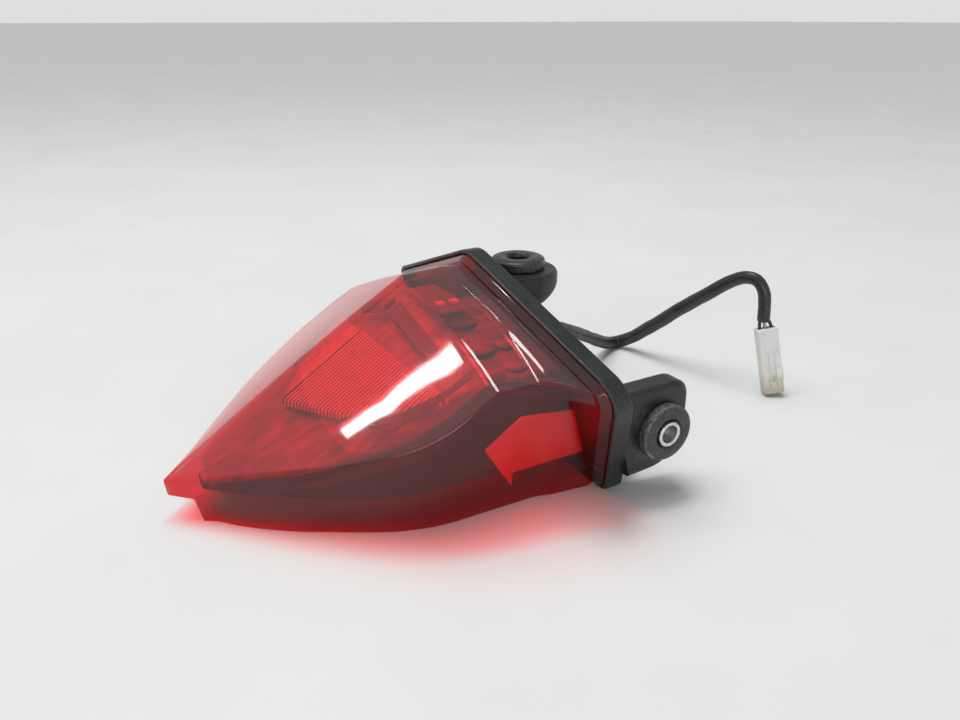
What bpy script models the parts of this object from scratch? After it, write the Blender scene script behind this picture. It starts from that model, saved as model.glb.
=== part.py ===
"""Motorcycle tail light: lens, rear housing, LED optics, rubber mounts and its pigtail.

Frame: +X from the lens tip to the mounting lugs, +Z up, symmetric about the plane Y = 0.
The light rests on its flat cowl face, and the origin is at the middle of that footprint.
Dimensions below are in millimetres; MM turns them into Blender's metres.
"""
import math

import bmesh
import bpy
from mathutils import Matrix, Vector

MM = 0.001
GAP = 0.3  # clearance kept between neighbouring pieces

# Rim: a five-sided outline in (y, z), leaning back as it goes down
RIM_X = 30.4  # x of the rim's apex
RIM_TOP = 75.7
RIM_APEX_Z = 76.3  # sharp corner; its rounding brings the apex down to RIM_TOP
RIM_WIDE_Y = 79.5  # sharp corner; rounded, the rim is 154 wide
RIM_WIDE_Z = 47.6
RIM_FOOT_Y = 60.0
RIM_LEAN = 0.295  # x gained for each mm below the apex
RIM_RADII = (5.0, 9.0, 12.0, 9.0, 5.0)
LEAN_ANGLE = math.atan(RIM_LEAN)
ARC_STEPS = 7

# Housing depths, measured back from the rim's front plane
RIM_FRONT = -1.0
RIM_BACK = 6.2
GROOVE_FLOOR = 4.9
TUB_BACK = 20.0
TUB_FLOOR = 18.0
RIM_WALL = 2.5
TUB_CORNERS = ((50.0, 7.0), (54.0, 34.0), (0.0, 52.5), (-54.0, 34.0), (-50.0, 7.0))
TUB_RADII = (4.0, 8.0, 10.0, 8.0, 4.0)
TUB_WALL = 2.2

# Lens: stations from tip to flange. along (from the rim apex), edge y, edge z, band, wall y
LENS_STATIONS = (
    (-113.4, 1.0, 13.1, 3.8, 7.8),
    (-103.4, 9.9, 16.6, 5.0, 9.1),
    (-95.6, 17.6, 19.2, 5.8, 17.0),
    (-87.9, 24.9, 21.8, 6.4, 23.8),
    (-79.2, 33.2, 24.6, 6.4, 30.2),
    (-70.6, 40.8, 27.2, 5.9, 35.4),
    (-64.4, 45.9, 29.0, 4.9, 39.2),
    (-58.2, 50.3, 31.0, 4.1, 42.7),
    (-52.4, 53.9, 33.1, 4.0, 45.6),
    (-47.8, 56.4, 35.0, 3.9, 47.2),
    (-43.4, 57.9, 37.0, 3.2, 48.6),
    (-38.8, 58.9, 39.3, 2.2, 49.4),
    (-34.0, 59.3, 42.0, 1.5, 49.9),
    (-28.9, 59.4, 45.0, 1.2, 50.0),
    (-22.2, 59.4, 48.6, 1.0, 50.0),
    (-8.7, 60.4, 48.8, 4.6, 50.2),
    (-3.9, 61.3, 48.9, 6.2, 50.3),
    (5.2, 69.7, 46.0, 4.5, 53.0),
)
SHOULDER = 14  # index of the station where the V facets meet the ring
KEEL_START = (-113.8, 13.3)
KEEL_END = (-25.5, 70.6)
KEEL_BULGE = 1.6
CROWN_Z = 71.0
FACET_BULGE = 0.7
NOSE_CAP_ALONG = -105.0
WALL_LEAN = 1.0
LENS_WALL = 2.4
FLANGE_INSET = 2.8
FLANGE_CHAMFER_INSET = 5.0
FLANGE_FRONT = -3.6
FLANGE_EDGE = -1.0
FLANGE_BACK = 2.6

# Inner carrier with its hollow nose, and the diffusers over it, as (along, y)
NOSE_STATIONS = ((-88.0, 6.0), (-70.0, 22.0), (-54.0, 36.0), (-38.0, 42.0), (-16.0, 42.0))
NOSE_DROP = 13.0
FACET_SLOPE = 0.36
NOSE_FLOOR = 10.0
NOSE_WALL = 1.8
DIFFUSER_PLAN = (
    (-72.0, 0.3),
    (-42.0, 0.3),
    (-36.5, 28.0),
    (-32.0, 45.0),
    (-46.0, 36.0),
    (-59.0, 22.0),
)
LIGHT_BAR_PLAN = ((-32.5, 2.0), (-28.0, 2.0), (-26.5, 28.0), (-31.0, 28.0))
FIN_PLAN = ((-60.0, 24.0), (-47.0, 37.5), (-31.0, 44.2), (-23.0, 44.2), (-25.0, 46.5), (-50.0, 41.5))
DIFFUSER_DROP = 7.0
LIGHT_BAR_DROP = 6.5
FIN_DROP = 5.4
FIN_THICKNESS = 1.0
PLATE_THICKNESS = 2.2
SIDE_PLATE = (  # (along, z) outline of the flat reflector behind each side wall
    (-19.0, 20.5),
    (-8.5, 4.0),
    (-8.5, 9.6),
    (17.5, 9.6),
    (15.5, 27.0),
    (-4.5, 29.5),
)
SIDE_PLATE_Y = (44.6, 46.2)

# Mounting lugs and their rubber grommets
LUG_RADIUS = 15.0
LUG_HOLE_RADIUS = 7.0
LUG_PLATE = 5.0
TOP_LUG_X = RIM_X + 21.9
TOP_LUG_Z = 66.0
LUG_LOW_Z = 55.2  # lowest point of the top lug, just above the tub
SIDE_LUG_X = RIM_X + 37.6
SIDE_LUG_Z = 23.9
SIDE_LUG_OUTER_Y = 67.2
SIDE_LUG_INNER_Y = 57.5
GROMMET_RADIUS = 10.1
GROMMET_FLANGE = 4.2
GROMMET_INNER_RADIUS = 9.4
GROMMET_INNER_FLANGE = 3.2
SLEEVE_OUTER_RADIUS = 4.5
SLEEVE_BORE_RADIUS = 3.2
TOP_BORE_RADIUS = 3.9

# Circuit boards and LEDs
BOARD_FRONT = 11.4
BOARD_THICKNESS = 1.6
BOARD_MARGIN = 4.0  # from the tub's outer outline
LED_SIZE = (1.9, 3.5, 2.8)
CROWN_BOARD_Z = 59.2
LED_ROWS = (20.0, 34.0)
COMPONENT_Z = 38.0
SCREW_PLACES = ((-44.0, 29.0), (44.0, 29.0), (-41.0, 14.0), (41.0, 14.0))
BOSS_RADIUS = 3.2
SCREW_RADIUS = 1.3

# Cable exit in the rear wall and the pigtail
EXIT_Y = 20.0
EXIT_Z = 25.0
GLAND_LENGTH = 12.0
CORD_DIAMETER = 6.0
CORD_ROUTE = (  # (along, y, z)
    (54.0, 20.6, 29.2),
    (61.0, 23.2, 26.2),
    (70.0, 27.6, 21.6),
    (79.0, 31.9, 16.8),
    (88.0, 35.8, 11.8),
    (97.0, 39.8, 7.2),
    (104.5, 43.2, 3.9),
    (110.6, 43.6, 3.3),
    (113.6, 37.4, 7.0),
    (115.4, 29.6, 13.4),
    (117.4, 22.2, 19.6),
    (119.6, 14.4, 26.8),
    (122.3, 5.8, 34.0),
    (124.6, -2.4, 40.8),
    (126.8, -9.4, 46.4),
    (128.4, -15.2, 49.6),
    (130.0, -20.6, 49.6),
    (131.1, -24.0, 45.6),
    (131.6, -25.2, 40.0),
)
CORD_END = (131.9, -25.6, 32.6)
CORD_STEP = 6.0
WIRE_RADIUS = 0.7
WIRE_SPREAD = 2.2
CONNECTOR_FOOT = (134.5, -34.1)
CONNECTOR_TOP = (132.2, -26.8, 29.6)
CONNECTOR_WIDTH = 8.6
CONNECTOR_DEPTH = 6.2
CAVITY = 2.1
CAVITY_PITCH = 2.6


def clear_scene():
    for obj in list(bpy.data.objects):
        bpy.data.objects.remove(obj, do_unlink=True)


def make_material(name, color, roughness, metallic=0.0, transmission=0.0):
    material = bpy.data.materials.new(name)
    material.use_nodes = True
    shader = material.node_tree.nodes["Principled BSDF"]
    shader.inputs["Base Color"].default_value = (*color, 1.0)
    shader.inputs["Roughness"].default_value = roughness
    shader.inputs["Metallic"].default_value = metallic
    shader.inputs["Transmission Weight"].default_value = transmission
    return material


def add_mesh(name, points, faces, material=None):
    """One mesh object from points in millimetres, with its faces turned outward."""
    mesh = bpy.data.meshes.new(name)
    mesh.from_pydata([Vector(p) * MM for p in points], [], faces)
    work = bmesh.new()
    work.from_mesh(mesh)
    bmesh.ops.recalc_face_normals(work, faces=work.faces)
    work.to_mesh(mesh)
    work.free()
    obj = bpy.data.objects.new(name, mesh)
    bpy.context.scene.collection.objects.link(obj)
    if material:
        mesh.materials.append(material)
    return obj


def loft(name, sections, material=None):
    """A closed solid through loops that all have the same number of points."""
    count = len(sections[0])
    points = [p for section in sections for p in section]
    faces = [tuple(range(count)), tuple(range(len(points) - count, len(points)))]
    for row in range(len(sections) - 1):
        for i in range(count):
            j = (i + 1) % count
            start = row * count
            faces.append((start + i, start + j, start + count + j, start + count + i))
    return add_mesh(name, points, faces, material)


def boolean(obj, tool, operation):
    tool.hide_render = True
    tool.display_type = "WIRE"
    modifier = obj.modifiers.new(f"{operation} {tool.name}", "BOOLEAN")
    modifier.operation = operation
    modifier.object = tool
    modifier.solver = "EXACT"


def cut(obj, *tools):
    for tool in tools:
        boolean(obj, tool, "DIFFERENCE")


def unite(obj, *tools):
    for tool in tools:
        boolean(obj, tool, "UNION")


def smooth(obj, degrees=35.0):
    obj.data.shade_smooth()
    obj.data.set_sharp_from_angle(angle=math.radians(degrees))


def bevel(obj, width, segments=2, degrees=40.0):
    modifier = obj.modifiers.new("Rounded edges", "BEVEL")
    modifier.width = width * MM
    modifier.segments = segments
    modifier.limit_method = "ANGLE"
    modifier.angle_limit = math.radians(degrees)


def box(name, size, material=None):
    x, y, z = (value / 2 for value in size)
    low = [(-x, -y, -z), (x, -y, -z), (x, y, -z), (-x, y, -z)]
    high = [(px, py, z) for px, py, pz in low]
    return loft(name, [low, high], material)


def turned(name, profile, segments=32, material=None):
    """A solid of revolution about local X from (x, radius) points that run round the section."""
    sections = []
    for step in range(segments):
        angle = 2 * math.pi * step / segments
        sections.append([(x, r * math.cos(angle), r * math.sin(angle)) for x, r in profile])
    count = len(profile)
    points = [p for section in sections for p in section]
    faces = []
    for step in range(segments):
        after = (step + 1) % segments
        for i in range(count):
            j = (i + 1) % count
            quad = (step * count + i, step * count + j, after * count + j, after * count + i)
            faces.append(quad)
    return add_mesh(name, points, faces, material)


def rod(name, x0, x1, radius, segments=24, material=None):
    """A plain cylinder along local X."""
    ends = []
    for x in (x0, x1):
        angles = (2 * math.pi * step / segments for step in range(segments))
        ends.append([(x, radius * math.cos(a), radius * math.sin(a)) for a in angles])
    return loft(name, ends, material)


def place(obj, location, rotation=None):
    """Set a millimetre location and a rotation matrix."""
    turn = rotation.to_4x4() if rotation else Matrix.Identity(4)
    obj.matrix_basis = Matrix.Translation(Vector(location) * MM) @ turn
    return obj


def lean_x(z):
    """x of the rim's front plane at height z."""
    return RIM_X + RIM_LEAN * (RIM_TOP - z)


def rim_point(y, z, depth):
    return (lean_x(z) + depth, y, z)


def rim_rotation():
    """Local X along the rim plane's backward normal, local Z up the plane."""
    return Matrix.Rotation(-LEAN_ANGLE, 3, "Y")


def at_rim(obj, y, z, depth):
    return place(obj, rim_point(y, z, depth), rim_rotation())


def offset_polygon(corners, inset):
    """Move each side of a counter-clockwise polygon inward by inset."""
    result = []
    count = len(corners)
    for i in range(count):
        before, here, after = (Vector(corners[k % count]) for k in (i - 1, i, i + 1))
        first = (here - before).normalized()
        second = (after - here).normalized()
        normal_a = Vector((-first.y, first.x))
        normal_b = Vector((-second.y, second.x))
        bisector = (normal_a + normal_b).normalized()
        result.append(here + bisector * (inset / bisector.dot(normal_a)))
    return result


def round_polygon(corners, radii):
    points = []
    count = len(corners)
    for i in range(count):
        before, here, after = (Vector(corners[k % count]) for k in (i - 1, i, i + 1))
        to_before = (before - here).normalized()
        to_after = (after - here).normalized()
        half = to_before.angle(to_after) / 2
        reach = radii[i] / math.tan(half)
        centre = here + (to_before + to_after).normalized() * (radii[i] / math.sin(half))
        start = here + to_before * reach - centre
        sweep = start.angle_signed(here + to_after * reach - centre)
        for step in range(ARC_STEPS + 1):
            turn = Matrix.Rotation(-sweep * step / ARC_STEPS, 2)
            points.append(tuple(centre + turn @ start))
    return points


def rim_outline(inset):
    """The rounded rim outline in (y, z), moved inward by inset."""
    corners = [
        (RIM_FOOT_Y, 0.0),
        (RIM_WIDE_Y, RIM_WIDE_Z),
        (0.0, RIM_APEX_Z),
        (-RIM_WIDE_Y, RIM_WIDE_Z),
        (-RIM_FOOT_Y, 0.0),
    ]
    radii = [max(radius - inset, 1.0) for radius in RIM_RADII]
    return round_polygon(offset_polygon(corners, inset), radii)


def normal_depth(depth):
    """A depth measured along X, as a distance along the rim plane's normal."""
    return depth * math.cos(LEAN_ANGLE)


def tub_prism(name, inset, front, back, material=None):
    radii = [max(radius - inset, 1.0) for radius in TUB_RADII]
    outline = round_polygon(offset_polygon(TUB_CORNERS, inset), radii)
    ends = [[rim_point(y, z, depth) for y, z in outline] for depth in (front, back)]
    return loft(name, ends, material)


def rim_section(inset, depth):
    return [rim_point(y, z, depth) for y, z in rim_outline(inset)]


def rim_prism(name, inset, front, back, material=None):
    return loft(name, [rim_section(inset, front), rim_section(inset, back)], material)


def keel_z(along):
    (x0, z0), (x1, z1) = KEEL_START, KEEL_END
    part = min(max((along - x0) / (x1 - x0), 0.0), 1.0)
    return z0 + (z1 - z0) * part + KEEL_BULGE * 4 * part * (1 - part)


def keel_along(index):
    """The keel's end leads the edge's end, so the shoulder crease sweeps forward at the crown."""
    along = LENS_STATIONS[index][0]
    if index <= SHOULDER:
        return along + (KEEL_END[0] - LENS_STATIONS[SHOULDER][0]) * index / SHOULDER
    last = len(LENS_STATIONS) - 1
    crown_end = RIM_LEAN * (RIM_TOP - CROWN_Z) + FLANGE_FRONT
    part = (index - SHOULDER) / (last - SHOULDER)
    return KEEL_END[0] + (crown_end - KEEL_END[0]) * part


def mirrored(half):
    """A full loop from a half that runs keel, ..., floor at y >= 0."""
    return half + [(x, -y, z) for x, y, z in reversed(half) if y > 0]


def outer_half(index):
    """Keel, mid facet, upper edge, lower edge, wall top and wall foot of one lens station."""
    along, edge_y, edge_z, band, wall_y = LENS_STATIONS[index]
    crown = keel_z(keel_along(index)) if index < SHOULDER else CROWN_Z
    crown_x = keel_along(index)
    wall_x = max(along, NOSE_CAP_ALONG)
    under_z = edge_z - band
    return [
        (RIM_X + crown_x, 0.0, crown),
        (RIM_X + (crown_x + along) / 2, edge_y / 2, (crown + edge_z) / 2 + FACET_BULGE),
        (RIM_X + along, edge_y, edge_z),
        (RIM_X + along + 0.4, edge_y + 0.5, under_z),
        (RIM_X + wall_x - WALL_LEAN, wall_y, under_z - 0.4),
        (RIM_X + wall_x + WALL_LEAN, wall_y, 0.0),
    ]


def flange_half():
    """The prow's last section, buried in the lens flange."""
    along, edge_y, edge_z, band, wall_y = LENS_STATIONS[-1]
    under_z = edge_z - band
    return [
        rim_point(0.0, CROWN_Z, 1.0),
        rim_point(edge_y / 2, (CROWN_Z + edge_z) / 2 + FACET_BULGE, 1.0),
        rim_point(edge_y + 0.6, edge_z, 1.0),
        rim_point(edge_y + 0.6, under_z, 1.0),
        rim_point(wall_y + 1.5, under_z - 0.4, 1.0),
        rim_point(wall_y + 3.5, 0.0, -1.8),
    ]


def inner_half(index):
    """The cavity's section at one station: the same rows, one wall thickness in."""
    along, edge_y, edge_z, band, wall_y = LENS_STATIONS[index]
    start_shift = max(0.0, 3.0 - 0.6 * (index - 1))
    reach = 0.55 + 0.1 * max(0, index - SHOULDER)
    crown = (keel_z(keel_along(index)) if index < SHOULDER else CROWN_Z) - 1.12 * LENS_WALL
    inner_wall_y = wall_y - LENS_WALL
    inner_edge_y = inner_wall_y + reach * max(edge_y - wall_y, 0.8)
    roof_z = crown + (edge_z - 1.12 * LENS_WALL - crown) * inner_edge_y / edge_y
    under_z = min(edge_z - band + LENS_WALL, roof_z - 0.3)
    x = RIM_X + along + start_shift
    crown_x = RIM_X + keel_along(index) + start_shift
    return [
        (crown_x, 0.0, crown),
        ((crown_x + x) / 2, inner_edge_y / 2, (crown + roof_z) / 2 + FACET_BULGE),
        (x, inner_edge_y, roof_z),
        (x, inner_edge_y + 0.05, under_z),
        (x, inner_wall_y, under_z - 0.2),
        (x, inner_wall_y, LENS_WALL),
    ]


def inner_end_half():
    """The cavity's mouth, just behind the flange."""
    y, z = LENS_STATIONS[-1][1] - 3.4, LENS_STATIONS[-1][2] - 2.6
    wall_y = LENS_STATIONS[-1][4] - LENS_WALL
    return [
        rim_point(0.0, CROWN_Z - 2.8, 5.0),
        rim_point(y / 2, (CROWN_Z - 2.8 + z) / 2 + FACET_BULGE, 5.0),
        rim_point(y, z, 5.0),
        rim_point(y, z - 1.0, 5.0),
        rim_point(wall_y + 1.0, z - 2.0, 5.0),
        rim_point(wall_y + 1.0, 6.4, 5.0),
    ]


def make_lens(material):
    prow_sections = [mirrored(outer_half(i)) for i in range(len(LENS_STATIONS))]
    prow_sections.append(mirrored(flange_half()))
    lens = loft("lens", prow_sections, material)
    flange_sections = [
        rim_section(FLANGE_CHAMFER_INSET, FLANGE_FRONT),
        rim_section(FLANGE_INSET, FLANGE_EDGE),
        rim_section(FLANGE_INSET, FLANGE_BACK),
    ]
    cavity_sections = [mirrored(inner_half(i)) for i in range(1, len(LENS_STATIONS))]
    cavity_sections.append(mirrored(inner_end_half()))
    unite(lens, loft("cutter_lens_flange", flange_sections))
    cut(lens, loft("cutter_lens_cavity", cavity_sections))
    return lens


def lug_outline(centre_x, centre_z, front_x, half_height):
    """A tongue in (x, z): straight from the front, round about the grommet's axis."""
    points = [(front_x, centre_z - half_height), (centre_x, centre_z - LUG_RADIUS)]
    for step in range(1, 16):
        angle = -math.pi / 2 + math.pi * step / 16
        x = centre_x + LUG_RADIUS * math.cos(angle)
        points.append((x, centre_z + LUG_RADIUS * math.sin(angle)))
    points += [(centre_x, centre_z + LUG_RADIUS), (front_x, centre_z + half_height)]
    return points


def side_lug(side):
    """A thick tongue beside the rim that carries a grommet with its axis along Y."""
    outline = lug_outline(SIDE_LUG_X, SIDE_LUG_Z, RIM_X + 18.0, LUG_RADIUS + 1.0)
    faces = (side * SIDE_LUG_INNER_Y, side * SIDE_LUG_OUTER_Y)
    lug = loft(f"cutter_lug_{side}", [[(x, y, z) for x, z in outline] for y in faces])
    bevel(lug, 2.6, segments=3, degrees=60.0)
    return lug


def side_lug_hole(side, radius, inner, outer):
    hole = rod(f"cutter_hole_{side}_{radius}", inner, outer, radius, 32)
    return place(hole, (SIDE_LUG_X, 0.0, SIDE_LUG_Z), Matrix.Rotation(side * math.pi / 2, 3, "Z"))


def top_lug():
    """The centre lug: a round-ended block that grows from the rim, deeper towards it."""
    sections = []
    slope = 0.42
    end_x = TOP_LUG_X + LUG_RADIUS
    for z, drop in ((TOP_LUG_Z - LUG_PLATE - 0.5, slope), (TOP_LUG_Z, 0.0)):
        front = lean_x(z) + RIM_BACK - 1.0
        outline = lug_outline(TOP_LUG_X, 0.0, front, LUG_RADIUS - 1.0)
        sections.append([(x, y, max(z - drop * (end_x - x), LUG_LOW_Z)) for x, y in outline])
    lug = loft("cutter_top_lug", sections)
    bevel(lug, 1.8, segments=3, degrees=50.0)
    return lug


def vertical_rod(name, z0, z1, radius, segments=32):
    turn = Matrix.Rotation(-math.pi / 2, 3, "Y")
    return place(rod(name, z0, z1, radius, segments), (TOP_LUG_X, 0.0, 0.0), turn)


def screw_boss(index, y, z, radius, front, back):
    ends = (normal_depth(front), normal_depth(back))
    boss = rod(f"cutter_boss_{index}_{radius}", *ends, radius, 16)
    return at_rim(boss, y, z, 0.0)


def foot_rib(side):
    """Short rib under each side lug that steps down to the rim's foot."""
    rib = box(f"cutter_foot_{side}", (9.0, 5.0, 9.0))
    return place(rib, (lean_x(8.0) + 8.0, side * 59.5, 8.6))


def make_housing(material):
    housing = rim_prism("housing", 0.0, RIM_FRONT, RIM_BACK, material)
    unite(housing, tub_prism("cutter_tub", 0.0, RIM_BACK - 1.0, TUB_BACK))
    unite(housing, top_lug(), side_lug(1), side_lug(-1), foot_rib(1), foot_rib(-1))
    cut(housing, rim_prism("cutter_groove", RIM_WALL, RIM_FRONT - 1.0, GROOVE_FLOOR))
    cut(housing, tub_prism("cutter_inside", TUB_WALL, GROOVE_FLOOR - 1.0, TUB_FLOOR))
    for index, (y, z) in enumerate(SCREW_PLACES):
        front = BOARD_FRONT + BOARD_THICKNESS + GAP
        unite(housing, screw_boss(index, y, z, BOSS_RADIUS, front, TUB_FLOOR + 1.0))
        cut(housing, screw_boss(index, y, z, SCREW_RADIUS + 0.2, front - 1.0, TUB_FLOOR))
    low = LUG_LOW_Z - 0.2
    cut(housing, vertical_rod("cutter_top_hole", low, TOP_LUG_Z + 5.0, LUG_HOLE_RADIUS))
    seat_z = TOP_LUG_Z - LUG_PLATE
    cut(housing, vertical_rod("cutter_top_seat", low, seat_z, GROMMET_INNER_RADIUS + 0.4))
    for side in (1, -1):
        outer, inner = SIDE_LUG_OUTER_Y, SIDE_LUG_OUTER_Y - LUG_PLATE
        start = SIDE_LUG_INNER_Y - 0.6
        cut(housing, side_lug_hole(side, LUG_HOLE_RADIUS, start, outer + 5.0))
        cut(housing, side_lug_hole(side, GROMMET_INNER_RADIUS + 0.8, start, inner))
    cut(housing, at_rim(rod("cutter_exit", 10.0, 30.0, 4.6), EXIT_Y, EXIT_Z, 0.0))
    cut(housing, at_rim(rod("cutter_vent", 10.0, 30.0, 2.6), -EXIT_Y, EXIT_Z, 0.0))
    return housing


def grommet_profile(bore):
    """Section of a grommet; x runs outward along its axis from the lug plate's outer face."""
    flange = GROMMET_RADIUS
    neck = LUG_HOLE_RADIUS - GAP
    plate = LUG_PLATE + GAP
    inner = GROMMET_INNER_RADIUS
    back = plate + GROMMET_INNER_FLANGE
    face = GAP + GROMMET_FLANGE
    return [
        (face, bore + 0.6),
        (face, flange - 1.6),
        (face - 0.6, flange - 0.4),
        (face - 1.6, flange),
        (GAP + 0.8, flange),
        (GAP, flange - 0.8),
        (GAP, neck),
        (-plate, neck),
        (-plate, inner),
        (-back + 1.0, inner - 0.2),
        (-back, inner - 1.8),
        (-back, bore),
        (face - 0.6, bore),
    ]


def make_grommets(material):
    side_bore = SLEEVE_OUTER_RADIUS + GAP
    top = turned("grommet_top", grommet_profile(TOP_BORE_RADIUS), 28, material)
    place(top, (TOP_LUG_X, 0.0, TOP_LUG_Z), Matrix.Rotation(-math.pi / 2, 3, "Y"))
    pieces = [top]
    for name, side in (("grommet_left", 1), ("grommet_right", -1)):
        grommet = turned(name, grommet_profile(side_bore), 28, material)
        turn = Matrix.Rotation(side * math.pi / 2, 3, "Z")
        pieces.append(place(grommet, (SIDE_LUG_X, side * SIDE_LUG_OUTER_Y, SIDE_LUG_Z), turn))
    for piece in pieces:
        smooth(piece)


def make_sleeves(material):
    outer, bore = SLEEVE_OUTER_RADIUS, SLEEVE_BORE_RADIUS
    end = GAP + GROMMET_FLANGE + 0.2
    start = -(LUG_PLATE + GAP + GROMMET_INNER_FLANGE)
    profile = [(start, bore), (end, bore), (end, outer), (start, outer)]
    for name, side in (("sleeve_left", 1), ("sleeve_right", -1)):
        sleeve = turned(name, profile, 28, material)
        turn = Matrix.Rotation(side * math.pi / 2, 3, "Z")
        place(sleeve, (SIDE_LUG_X, side * SIDE_LUG_OUTER_Y, SIDE_LUG_Z), turn)
        smooth(sleeve)


def make_ring(name, outer_inset, inner_inset, front, back, material):
    ring = rim_prism(name, outer_inset, front, back, material)
    cut(ring, rim_prism(f"cutter_{name}", inner_inset, front - 1.0, back + 1.0))
    return ring


def nose_half(index, inset):
    along, half_width = NOSE_STATIONS[index]
    y = half_width - inset
    crown = keel_z(along) - NOSE_DROP - inset
    shift = 2.5 * inset if index == 0 else 0.0
    x = RIM_X + along + shift
    return [
        (x, 0.0, crown),
        (x, y, crown - FACET_SLOPE * y),
        (x, y, crown - FACET_SLOPE * y - 5.0 + inset),
        (x, max(y - 4.0, 1.0), NOSE_FLOOR + inset),
    ]


def nose_end_half(inset, depth):
    along, half_width = NOSE_STATIONS[-1]
    y = half_width - inset
    crown = keel_z(along) - NOSE_DROP - inset
    edge = crown - FACET_SLOPE * y
    rows = ((0.0, crown), (y, edge), (y, edge - 5.0 + inset), (y - 4.0, NOSE_FLOOR + inset))
    return [rim_point(py, pz, depth) for py, pz in rows]


def make_carrier(material):
    """Inner carrier: a frame clamped behind the lens flange with a hollow nose in the prow."""
    carrier = rim_prism("inner_carrier", 6.4, FLANGE_BACK + GAP, GROOVE_FLOOR - GAP, material)
    outer = [mirrored(nose_half(i, 0.0)) for i in range(len(NOSE_STATIONS))]
    outer.append(mirrored(nose_end_half(0.0, FLANGE_BACK + 1.0)))
    inner = [mirrored(nose_half(i, NOSE_WALL)) for i in range(len(NOSE_STATIONS))]
    inner.append(mirrored(nose_end_half(NOSE_WALL, GROOVE_FLOOR + 2.0)))
    unite(carrier, loft("cutter_nose", outer))
    cut(carrier, loft("cutter_nose_inside", inner))
    return carrier


def facet_plate(name, side, plan, drop, thickness, material):
    """A plate under the lens facet, from its plan corners (along, y) and its depth below it."""
    slope = (KEEL_END[1] - KEEL_START[1]) / (KEEL_END[0] - KEEL_START[0])
    sections = []
    for depth in (drop, drop + thickness):
        level = KEEL_END[1] - depth
        section = [
            (RIM_X + along, side * y, level + slope * (along - KEEL_END[0]) - FACET_SLOPE * y)
            for along, y in plan
        ]
        sections.append(section)
    return loft(name, sections, material)


def make_facet_plates(material):
    """Under each facet a swept diffuser, a short light bar and a finned strip by the edge."""
    for side, suffix in ((1, "left"), (-1, "right")):
        name = f"diffuser_{suffix}"
        facet_plate(name, side, DIFFUSER_PLAN, DIFFUSER_DROP, PLATE_THICKNESS, material)
        name = f"light_bar_{suffix}"
        facet_plate(name, side, LIGHT_BAR_PLAN, LIGHT_BAR_DROP, PLATE_THICKNESS, material)
        name = f"fin_strip_{suffix}"
        facet_plate(name, side, FIN_PLAN, FIN_DROP, FIN_THICKNESS, material)


def make_side_reflectors(material):
    """Flat bright plates just behind the lens's side walls."""
    for side, suffix in ((1, "left"), (-1, "right")):
        faces = [[(RIM_X + x, side * y, z) for x, z in SIDE_PLATE] for y in SIDE_PLATE_Y]
        loft(f"side_reflector_{suffix}", faces, material)


def make_main_board(material):
    front, back = BOARD_FRONT, BOARD_FRONT + BOARD_THICKNESS
    board = tub_prism("main_board", BOARD_MARGIN, front, back, material)
    for index, (y, z) in enumerate(SCREW_PLACES):
        hole = screw_boss(index, y, z, SCREW_RADIUS + 0.31, front - 2.0, back + 2.0)
        hole.name = f"cutter_board_hole_{index}"
        cut(board, hole)
    return board


def make_main_leds(material):
    """Two rows of LED packages on the board's front."""
    places = [(column * 13.0, z) for z in LED_ROWS for column in (-2, -1, 0, 1, 2)]
    for index, (y, z) in enumerate(places, start=1):
        led = box(f"main_led_{index:02d}", LED_SIZE, material)
        at_rim(led, y, z, BOARD_FRONT - GAP - LED_SIZE[0] / 2)


def make_crown_board(material):
    board = box("crown_board", (13.0, 30.0, 1.2), material)
    return place(board, (RIM_X - 12.5, 0.0, CROWN_BOARD_Z))


def make_crown_leds(material):
    for index, x in enumerate((-16.0, -10.5), start=1):
        led = box(f"crown_led_{index}", (3.0, 3.0, 1.2), material)
        place(led, (RIM_X + x, -9.0, CROWN_BOARD_Z + 1.2 + GAP))


def make_components(material):
    """Driver chip and protection diode on the rear of the main board."""
    back = BOARD_FRONT + BOARD_THICKNESS + GAP
    parts = (("driver_chip", -18.0, (1.6, 6.0, 5.0)), ("diode", -6.0, (2.2, 4.0, 2.6)))
    for name, y, size in parts:
        at_rim(box(name, size, material), y, COMPONENT_Z, back + size[0] / 2)


def make_header(material):
    header = box("board_header", (3.4, 9.0, 4.6), material)
    bevel(header, 0.3, segments=1)
    return at_rim(header, 4.0, 30.0, BOARD_FRONT + BOARD_THICKNESS + GAP + 1.7)


def make_board_screws(material):
    """Pan-head screws that hold the main board to its bosses."""
    seat = normal_depth(BOARD_FRONT) - GAP
    tip = normal_depth(TUB_FLOOR) - GAP
    profile = [
        (seat - 1.6, 1.9),
        (seat - 1.1, 2.7),
        (seat, 2.7),
        (seat, SCREW_RADIUS - 0.1),
        (tip - 0.6, SCREW_RADIUS - 0.1),
        (tip, 0.7),
    ]
    for index, (y, z) in enumerate(SCREW_PLACES, start=1):
        screw = solid_turned(f"board_screw_{index}", profile)
        screw.data.materials.append(material)
        at_rim(screw, y, z, 0.0)


def solid_turned(name, profile, segments=12):
    """A turned solid whose profile starts and ends near the axis: both ends are capped."""
    sections = []
    for x, radius in profile:
        angles = (2 * math.pi * step / segments for step in range(segments))
        sections.append([(x, radius * math.cos(a), radius * math.sin(a)) for a in angles])
    return loft(name, sections)


def exit_axis():
    return rim_rotation() @ Vector((1.0, 0.0, 0.0))


def exit_point(distance):
    """A point on the cable exit's axis, measured from the rear wall's inner face."""
    start = Vector(rim_point(EXIT_Y, EXIT_Z, 0.0))
    return start + exit_axis() * (normal_depth(TUB_FLOOR) + distance)


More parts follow.
